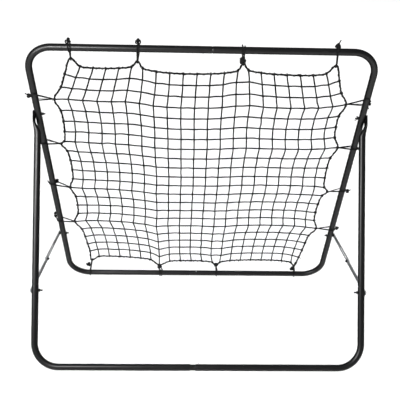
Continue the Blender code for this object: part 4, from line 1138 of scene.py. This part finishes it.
edge_knots = Shell()
g = random.Random(23)
for k, q in enumerate(rope_names):
    if q is None or q in ((0, 0), (0, CELLS), (CELLS, 0), (CELLS, CELLS)):
        continue
    c = net_points([rope_line[k]])[0]
    ahead = net_points([rope_line[(k + 1) % len(rope_line)]])[0] - net_points([rope_line[k - 1]])[0]
    ahead = unit(ahead)
    inward = unit(np.cross(NET_N, ahead))
    # two turns round the rope where the cord is made fast
    pts = []
    turns = g.choice((1.5, 2.0, 2.0))
    for m in range(int(turns * 10) + 1):
        a = 2 * PI * m / 10
        pts.append(c + ahead * ((m / (turns * 10) - 0.5) * 0.0052) + inward * (ROPE_R + 0.0013) * math.cos(a)
                   + NET_N * (ROPE_R + 0.0013) * math.sin(a))
    line, le = curve(pts, 0.0015)
    sweep(edge_knots, line, le, 0.00115, (1.0,) * 6, 0)
    if g.random() < 0.34:
        a = g.uniform(-1, 1)
        out = unit(-inward * g.uniform(-0.4, 1.0) + NET_N * g.uniform(-0.8, 0.5) + ahead * a)
        long = g.uniform(0.007, 0.014)
        bend = unit(out + vec(0, 0, -0.6))
        tail(edge_knots, [c, c + out * long * 0.5, c + out * long * 0.6 + bend * long * 0.4], 0.0011, (1.0,) * 6)
place(edge_knots.make("border_knots", ROPE, None), "net_frame", "edge_rope", "border_rope")

# ---------------------------------------------------------------- elastic ties
BAR = {
    "top": (lambda a: frame_point(NET_S, a, -NET_TOP), -NET_S, EX),
    "bottom": (lambda a: frame_point(NET_S, a, NET_LOW), NET_S, EX),
    "left": (lambda a: frame_point(NET_S, -H, a), -EX, NET_S),
    "right": (lambda a: frame_point(NET_S, H, a), EX, NET_S),
}
WRAP = TUBE_R + TIE_R + 0.0001


def on_bar(side, along, rho, deg):
    """a point at the distance rho from the bar's centre line; 0 degrees points away from the net,
    -90 to the front and 90 to the rear"""
    base, out, _ = BAR[side]
    a = math.radians(deg)
    return base(along) + rho * (out * math.cos(a) + NET_N * math.sin(a))


def elastic_tie(k, front, rear, turns=1, thin=1.0, extra=(), balls=(), tails=()):
    """front, rear: places along the bar where the two strands reach it; turns round the bar;
    thin: width of the rear strand; extra: more strands (front or rear, place, last angle);
    balls: knots (kind, ...); tails: point lists"""
    side, along, idx, apex = TIES[k]
    counter = sum(1 for t in TIES[:k + 1] if t[0] == side)
    bis, half_angle, keep = hook(rope_line, apex)
    inside = EX * bis[0] + NET_S * bis[1]
    centre = net_points([apex])[0]
    sink = 0.0030 / max(math.sin(half_angle), 0.35) + TIE_R
    psi = 95.0
    shell = Shell()
    pts, width = [], []

    def add(p, w=1.0):
        pts.append(p)
        width.append(w)

    # round the rope, inside its corner, then the front strand, the bar and the rear strand
    for a in (60, 20, -20, -60):
        t = math.radians(a)
        add(centre + inside * sink * math.cos(t) + NET_N * 0.0042 * math.sin(t) * 1.1, 1.0)
    neck = centre + unit(on_bar(side, (front + rear) / 2, 0.0, 0.0) - centre) * 0.0062
    apart = NET_N * (0.0036 if side in ("left", "right") else 0.0025)
    most = 0.0035 if side in ("left", "right") else 0.0010
    aside = BAR[side][2] * max(min((front - rear) / 2, most), -most)
    p0, p1 = neck - apart + aside, on_bar(side, front, WRAP, -psi)
    for f in (0.0, 0.30, 0.65, 0.92):
        add(p0 + (p1 - p0) * f, 1.3)
    span = 2 * psi + 360 * (turns - 1)
    count = max(6, int(span / 28))
    for m in range(count + 1):
        f = m / count
        add(on_bar(side, front + (rear - front) * f, WRAP, -psi + span * f))
    p0, p1 = on_bar(side, rear, WRAP, psi), neck + apart - aside
    for f in (0.08, 0.35, 0.70, 1.0):
        add(p0 + (p1 - p0) * f, thin * 1.15)
    line, le = curve(pts, 0.0011, closed=True)
    # the width at each place, from the nearest given point
    given = np.array(pts)
    near = np.array([int(np.argmin(((given - q) ** 2).sum(axis=1))) for q in line])
    w = np.array(width)[near]
    for again in range(6):
        w = (np.roll(w, 1) + w + np.roll(w, -1)) / 3
    weave = 1 + 0.03 * np.sin(le / 0.0011)
    sweep(shell, line, le, TIE_R * w * weave, (1.0,) * 10, 0, closed=True)
    for where, place_at, last in extra:
        sg = -1 if where == "front" else 1
        p0 = neck + (apart * 0.9 - aside) * sg
        p1 = on_bar(side, place_at, WRAP, psi * sg)
        route = [p0 + (p1 - p0) * f for f in (0.0, 0.3, 0.65, 0.94)]
        steps = max(2, int(abs(psi * sg - last) / 28))
        for m in range(steps + 1):
            route.append(on_bar(side, place_at + 0.002 * m / steps, WRAP, psi * sg + (last - psi * sg) * m / steps))
        line, le = curve(route, 0.0012)
        sweep(shell, line, le, rounded_ends(TIE_R * (thin if sg > 0 else 1.0), le, TIE_R), (1.0,) * 10, 0)
    for n, (at, size, r, *full) in enumerate(balls):
        axes = None
        if full:
            e2, e3 = across(TOWARDS)
            a = k * 1.3 + n
            axes = (TOWARDS, e2 * math.cos(a) + e3 * math.sin(a), e3 * math.cos(a) - e2 * math.sin(a))
            core(shell, at, size * 1.32 * full[0])
        overhand(shell, at, size * 1.32, r * 1.28, k * 7 + n, (1.0,) * 9, axes)
    for route in tails:
        tail(shell, route, TIE_R * 0.9, (1.0,) * 9)
    ob = shell.make("tie_cord_%s_%d" % (side, counter), ELASTIC, None)
    if side == "bottom":
        # pressed flat between the bar and the floor
        for v in ob.data.vertices:
            v.co.z = max(v.co.z, 0.0003)
    return place(ob, "net_frame", "elastic", "tie_%s_%d" % (side, counter))


def strand(k, which, along, f, lift=0.0):
    """a point on a tie's strand, from the rope (0) to the bar (1)"""
    side, _, _, apex = TIES[k]
    centre = net_points([apex])[0]
    sg = -1 if which == "front" else 1
    p1 = on_bar(side, along, WRAP, 95.0 * sg)
    return centre + (p1 - centre) * f + NET_N * lift


def beside(p, dx=0.0, ds=0.0, dn=0.0):
    return p + EX * dx + NET_S * ds + NET_N * dn


# top bar
q = on_bar("top", -0.4620, 0.0220, 10)
elastic_tie(0, -0.4540, -0.4650, 2, 0.9, balls=[(q, 0.0023, 0.0018), (beside(q, 0.002, -0.003, 0.002), 0.0016, 0.0018)],
            tails=[[q, beside(q, -0.007, -0.002, 0.001), beside(q, -0.0085, 0.006, 0.001)],
                   [q, beside(q, 0.006, -0.004, 0.0), beside(q, 0.008, 0.002, -0.001)]])
q = on_bar("top", -0.2235, 0.0240, 8)
elastic_tie(1, -0.2265, -0.2190, 2, 1.1, balls=[(q, 0.0023, 0.0018), (beside(q, 0.001, -0.005, 0.0), 0.0015, 0.0018)],
            tails=[[q, beside(q, -0.007, -0.003, 0.002), beside(q, -0.008, 0.004, 0.003)],
                   [q, beside(q, 0.007, -0.006, 0.001), beside(q, 0.009, 0.001, 0.001)]])
q = beside(strand(2, "front", 0.1300, 0.16, 0.000), -0.0025, -0.0030)
elastic_tie(2, 0.1335, 0.1450, 2, 1.0, balls=[(q, 0.0026, 0.0022, 3.1), (beside(q, 0.000, -0.008, -0.001), 0.0022, 0.0020, 3.0)],
            tails=[[on_bar("top", 0.1335, WRAP, 5), on_bar("top", 0.1337, WRAP + 0.0032, 15), on_bar("top", 0.1345, WRAP + 0.005, 22)]])
q = on_bar("top", 0.4640, 0.0205, 10)
elastic_tie(3, 0.4625, 0.4705, 1, 1.3, balls=[(q, 0.0023, 0.0020, 3.2)],
            tails=[[q, beside(q, 0.002, -0.010, 0.001), beside(q, 0.0065, -0.023, 0.002)]])
# right side
q = on_bar("right", -0.0640, WRAP + 0.0008, 8)
elastic_tie(4, -0.0985, -0.0550, 1, 0.75, extra=[("rear", -0.0480, -20.0)], balls=[(q, 0.0012, 0.0018)],
            tails=[[q, on_bar("right", -0.0700, WRAP + 0.004, 30), on_bar("right", -0.0760, WRAP + 0.007, 40)]])
q = on_bar("right", 0.1400, 0.0170, -35)
elastic_tie(5, 0.1410, 0.1440, 1, 0.75, extra=[("rear", 0.1510, 20.0)], balls=[(q, 0.0013, 0.0018)],
            tails=[[q, on_bar("right", 0.1440, 0.0175, -5), on_bar("right", 0.1500, 0.0190, 12)]])
q = on_bar("right", 0.3690, 0.0212, -28)
elastic_tie(6, 0.3680, 0.3765, 1, 0.8, balls=[(beside(q, 0.0, 0.001, 0.0), 0.0018, 0.0019, 3.1), (beside(q, 0.001, 0.006, 0.002), 0.0013, 0.0018, 3.0)],
            tails=[[q, beside(q, 0.008, -0.003, -0.001), beside(q, 0.0135, -0.005, 0.003)],
                   [q, on_bar("right", 0.3640, 0.0160, -55)]])
q = on_bar("right", 0.6000, 0.0215, -30)
elastic_tie(7, 0.6115, 0.6180, 1, 1.0, balls=[(q, 0.0018, 0.0019, 3.1)],
            tails=[[q, beside(q, 0.006, -0.004, 0.001), beside(q, 0.009, -0.001, 0.004)],
                   [q, on_bar("right", 0.6080, 0.0160, -60)]])
# floor bar of the net frame
q = strand(8, "front", 0.4760, 0.42, 0.003)
elastic_tie(8, 0.4830, 0.4900, 1, 1.2, balls=[(beside(q, -0.007, -0.009, 0.0), 0.0024, 0.0021, 2.6),
                                              (net_points([(0.4835, 0.8620)])[0], 0.0012, 0.0019, 3.1),
                                              (net_points([(0.4808, 0.8690)])[0], 0.0011, 0.0019, 3.1)],
            tails=[[beside(q, -0.007, 0.0, 0.0), beside(q, -0.014, -0.006, -0.003), beside(q, -0.016, -0.013, -0.003)],
                   [beside(q, -0.007, 0.0, 0.0), q]])
q = strand(9, "front", 0.1000, 0.0, 0.0)
elastic_tie(9, 0.0980, 0.1040, 1, 1.15, balls=[(beside(q, -0.002, -0.019, -0.004), 0.0020, 0.0020, 3.1)],
            tails=[[beside(q, 0.0, -0.012, -0.002), beside(q, 0.004, -0.020, -0.004), beside(q, 0.003, -0.026, -0.004)]])
q = strand(10, "front", -0.1750, 0.06, -0.001)
elastic_tie(10, -0.1790, -0.1670, 2, 1.05, balls=[(beside(q, 0.0, 0.004, -0.002), 0.0026, 0.0020, 2.9)],
            tails=[[q, beside(q, -0.007, 0.006, -0.002), beside(q, -0.009, 0.014, -0.002)],
                   [q, beside(q, 0.007, 0.006, -0.002), beside(q, 0.008, 0.013, -0.002)]])
q = strand(11, "front", -0.5220, 0.28, 0.0)
ball = beside(q, -0.0125, -0.001, -0.002)
elastic_tie(11, -0.5200, -0.5240, 1, 0.9, balls=[(ball, 0.0024, 0.0019, 2.8)],
            tails=[[ball, beside(ball, -0.008, -0.005, -0.002), beside(ball, -0.013, -0.008, 0.001)],
                   [ball, beside(q, -0.008, 0.006, -0.001), q]])
# left side
q = on_bar("left", 0.5420, 0.0178, -28)
w = on_bar("left", 0.5245, 0.0172, -28)
elastic_tie(12, 0.5705, 0.5720, 1, 1.0, balls=[(q, 0.0016, 0.0018, 3.1), (w, 0.0012, 0.0017, 3.1)],
            tails=[[q, on_bar("left", 0.5560, 0.0165, -35), on_bar("left", 0.5740, 0.0158, -40)],
                   [q, on_bar("left", 0.5300, 0.0200, -20), w]])
q = strand(13, "rear", 0.3480, 0.80, -0.001)
elastic_tie(13, 0.3480, 0.3500, 1, 1.0, balls=[(q, 0.0018, 0.0020, 3.1), (beside(q, 0.001, -0.006, 0.001), 0.0014, 0.0018, 3.0)],
            tails=[[on_bar("left", 0.3460, WRAP, -30), on_bar("left", 0.3420, WRAP + 0.003, -12), on_bar("left", 0.3390, WRAP + 0.004, 5)]])
elastic_tie(14, 0.1340, 0.1370, 1, 0.7, extra=[("rear", 0.1290, 60.0)],
            balls=[(on_bar("left", 0.1400, WRAP + 0.001, 20), 0.0012, 0.0018)],
            tails=[[on_bar("left", 0.1400, WRAP, 20), on_bar("left", 0.1460, WRAP + 0.003, 45), on_bar("left", 0.1510, WRAP + 0.004, 60)]])
q = on_bar("left", -0.0865, 0.0188, -30)
elastic_tie(15, -0.0965, -0.0560, 1, 0.7, extra=[("rear", -0.0490, 10.0)], balls=[(q, 0.0019, 0.0020, 3.0)],
            tails=[[q, on_bar("left", -0.0960, 0.0280, -30), on_bar("left", -0.1020, 0.0325, -32)],
                   [q, on_bar("left", -0.0850, 0.0260, -22), on_bar("left", -0.0760, 0.0235, -20)],
                   [q, on_bar("left", -0.0840, WRAP, -50), on_bar("left", -0.0780, WRAP, -75)]])

# ---------------------------------------------------------------- floor, light and camera
# low enough to keep clear of the leg frame's bar when it is folded; it takes no shadow, so that doesn't show
FLOOR = -0.060
floor = Shell()
floor.grid([[vec(x, y, FLOOR) for x, y in ((-60, -60), (60, -60), (60, 60), (-60, 60))],
            [vec(x, y, FLOOR - 0.02) for x, y in ((-60, -60), (60, -60), (60, 60), (-60, 60))]])
pale = bpy.data.materials.new("pale_floor")
pale.use_nodes = True
pale.node_tree.nodes["Principled BSDF"].inputs["Base Color"].default_value = (0.98, 0.98, 0.98, 1)
pale.node_tree.nodes["Principled BSDF"].inputs["Roughness"].default_value = 1.0
pale.node_tree.nodes["Principled BSDF"].inputs["Specular IOR Level"].default_value = 0.0
ground = floor.make("studio_floor", pale, None)
ground.visible_glossy = False

# a pale wall all round, for the views from low down; it gives and takes no light
wall = Shell()
wall.grid([[vec(58 * math.cos(r) * math.cos(a), 58 * math.cos(r) * math.sin(a), 58 * math.sin(r) - 0.2)
            for a in np.linspace(0, 2 * PI, 64, endpoint=False)] for r in np.radians((0, 4, 10, 20, 32, 46, 62, 78))])
soft = bpy.data.materials.new("pale_wall")
soft.use_nodes = True
soft.node_tree.nodes["Principled BSDF"].inputs["Base Color"].default_value = (0.0, 0.0, 0.0, 1)
soft.node_tree.nodes["Principled BSDF"].inputs["Specular IOR Level"].default_value = 0.0
soft.node_tree.nodes["Principled BSDF"].inputs["Emission Color"].default_value = (1.0, 1.0, 1.0, 1)
soft.node_tree.nodes["Principled BSDF"].inputs["Emission Strength"].default_value = 0.84
soft.cycles.emission_sampling = "NONE"
backdrop = wall.make("studio_wall", soft, None)
backdrop.visible_diffuse = False
backdrop.visible_glossy = False
backdrop.visible_transmission = False
backdrop.visible_shadow = False

# the studio round the object: dim walls, brighter low down at the front and towards the left
world = bpy.data.worlds.new("studio")
world.use_nodes = True
tree = world.node_tree
where = tree.nodes.new("ShaderNodeTexCoord")
parts = tree.nodes.new("ShaderNodeSeparateXYZ")
tree.links.new(where.outputs["Generated"], parts.inputs["Vector"])


def step(source, lo, hi, a, b):
    r = tree.nodes.new("ShaderNodeMapRange")
    r.interpolation_type = "SMOOTHSTEP"
    for name, v in (("From Min", lo), ("From Max", hi), ("To Min", a), ("To Max", b)):
        r.inputs[name].default_value = v
    tree.links.new(source, r.inputs["Value"])
    return r.outputs["Result"]


def calc(op, a, b):
    n = tree.nodes.new("ShaderNodeMath")
    n.operation = op
    for i, v in enumerate((a, b)):
        if isinstance(v, float):
            n.inputs[i].default_value = v
        else:
            tree.links.new(v, n.inputs[i])
    return n.outputs[0]


front = step(parts.outputs["Y"], -0.50, 0.45, 1.0, 0.0)
down = step(parts.outputs["Z"], -0.80, 0.10, 0.78, 0.0)
sidelong = step(parts.outputs["X"], -0.7, 0.7, 1.35, 0.55)
glow = calc("MULTIPLY", calc("ADD", down, calc("MULTIPLY", sidelong, 0.17)), front)
tree.links.new(calc("ADD", glow, 0.045), tree.nodes["Background"].inputs["Strength"])
tree.nodes["Background"].inputs["Color"].default_value = (1.0, 1.0, 1.0, 1)
bpy.context.scene.world = world
bpy.context.scene.view_settings.view_transform = "Standard"


def lamp(name, kind, at, aim, power, size):
    light = bpy.data.lights.new(name, kind)
    light.energy = power
    if kind == "AREA":
        light.shape = "RECTANGLE"
        light.size, light.size_y = size
    else:
        light.angle = size
    ob = bpy.data.objects.new(name, light)
    bpy.context.scene.collection.objects.link(ob)
    d = unit(vec(*aim) - vec(*at))
    u = unit(np.cross(d, vec(0, 0.001, 1)))
    v = np.cross(u, d)
    ob.matrix_world = Matrix(((u[0], v[0], -d[0], at[0]), (u[1], v[1], -d[1], at[1]), (u[2], v[2], -d[2], at[2]),
                              (0, 0, 0, 1)))
    ob.visible_camera = False
    return ob


overhead = lamp("overhead", "SUN", (0, 0, 6), (0, 0, 0), 0.14, math.radians(130))
overhead.visible_glossy = False
fill = lamp("overhead_fill", "SUN", (0.5, 0, 6), (0, 0, 0), 3.34, math.radians(4))
fill.visible_glossy = False
fill.data.use_shadow = False
side_lamp = lamp("side_softbox", "AREA", (-1.60, -1.48, 1.18), (0, 0, 0.60), 28.0, (0.5, 1.0))
near_lamp = lamp("near_softbox", "AREA", (-0.80, -1.40, 1.51), (-0.1, 0, 0.6), 18.0, (0.34, 0.34))
side_lamp.visible_diffuse = False
near_lamp.visible_diffuse = False

cam = bpy.data.cameras.new("view")
cam.lens = 51.093
cam.sensor_width = 36.0
cam.sensor_fit = "HORIZONTAL"
cam.clip_start, cam.clip_end = 0.05, 200
eye = bpy.data.objects.new("view", cam)
bpy.context.scene.collection.objects.link(eye)
pitch, yaw, roll = math.radians(21.6952), math.radians(1.4853), math.radians(1.1871)
fwd = vec(math.sin(yaw) * math.cos(pitch), math.cos(yaw) * math.cos(pitch), -math.sin(pitch))
level_right = vec(math.cos(yaw), -math.sin(yaw), 0)
level_up = np.cross(level_right, fwd)
right = math.cos(roll) * level_right + math.sin(roll) * level_up
up = -math.sin(roll) * level_right + math.cos(roll) * level_up
eye.matrix_world = Matrix(((right[0], up[0], -fwd[0], -0.05271), (right[1], up[1], -fwd[1], -2.11541),
                           (right[2], up[2], -fwd[2], 1.38752), (0, 0, 0, 1)))
bpy.context.scene.camera = eye
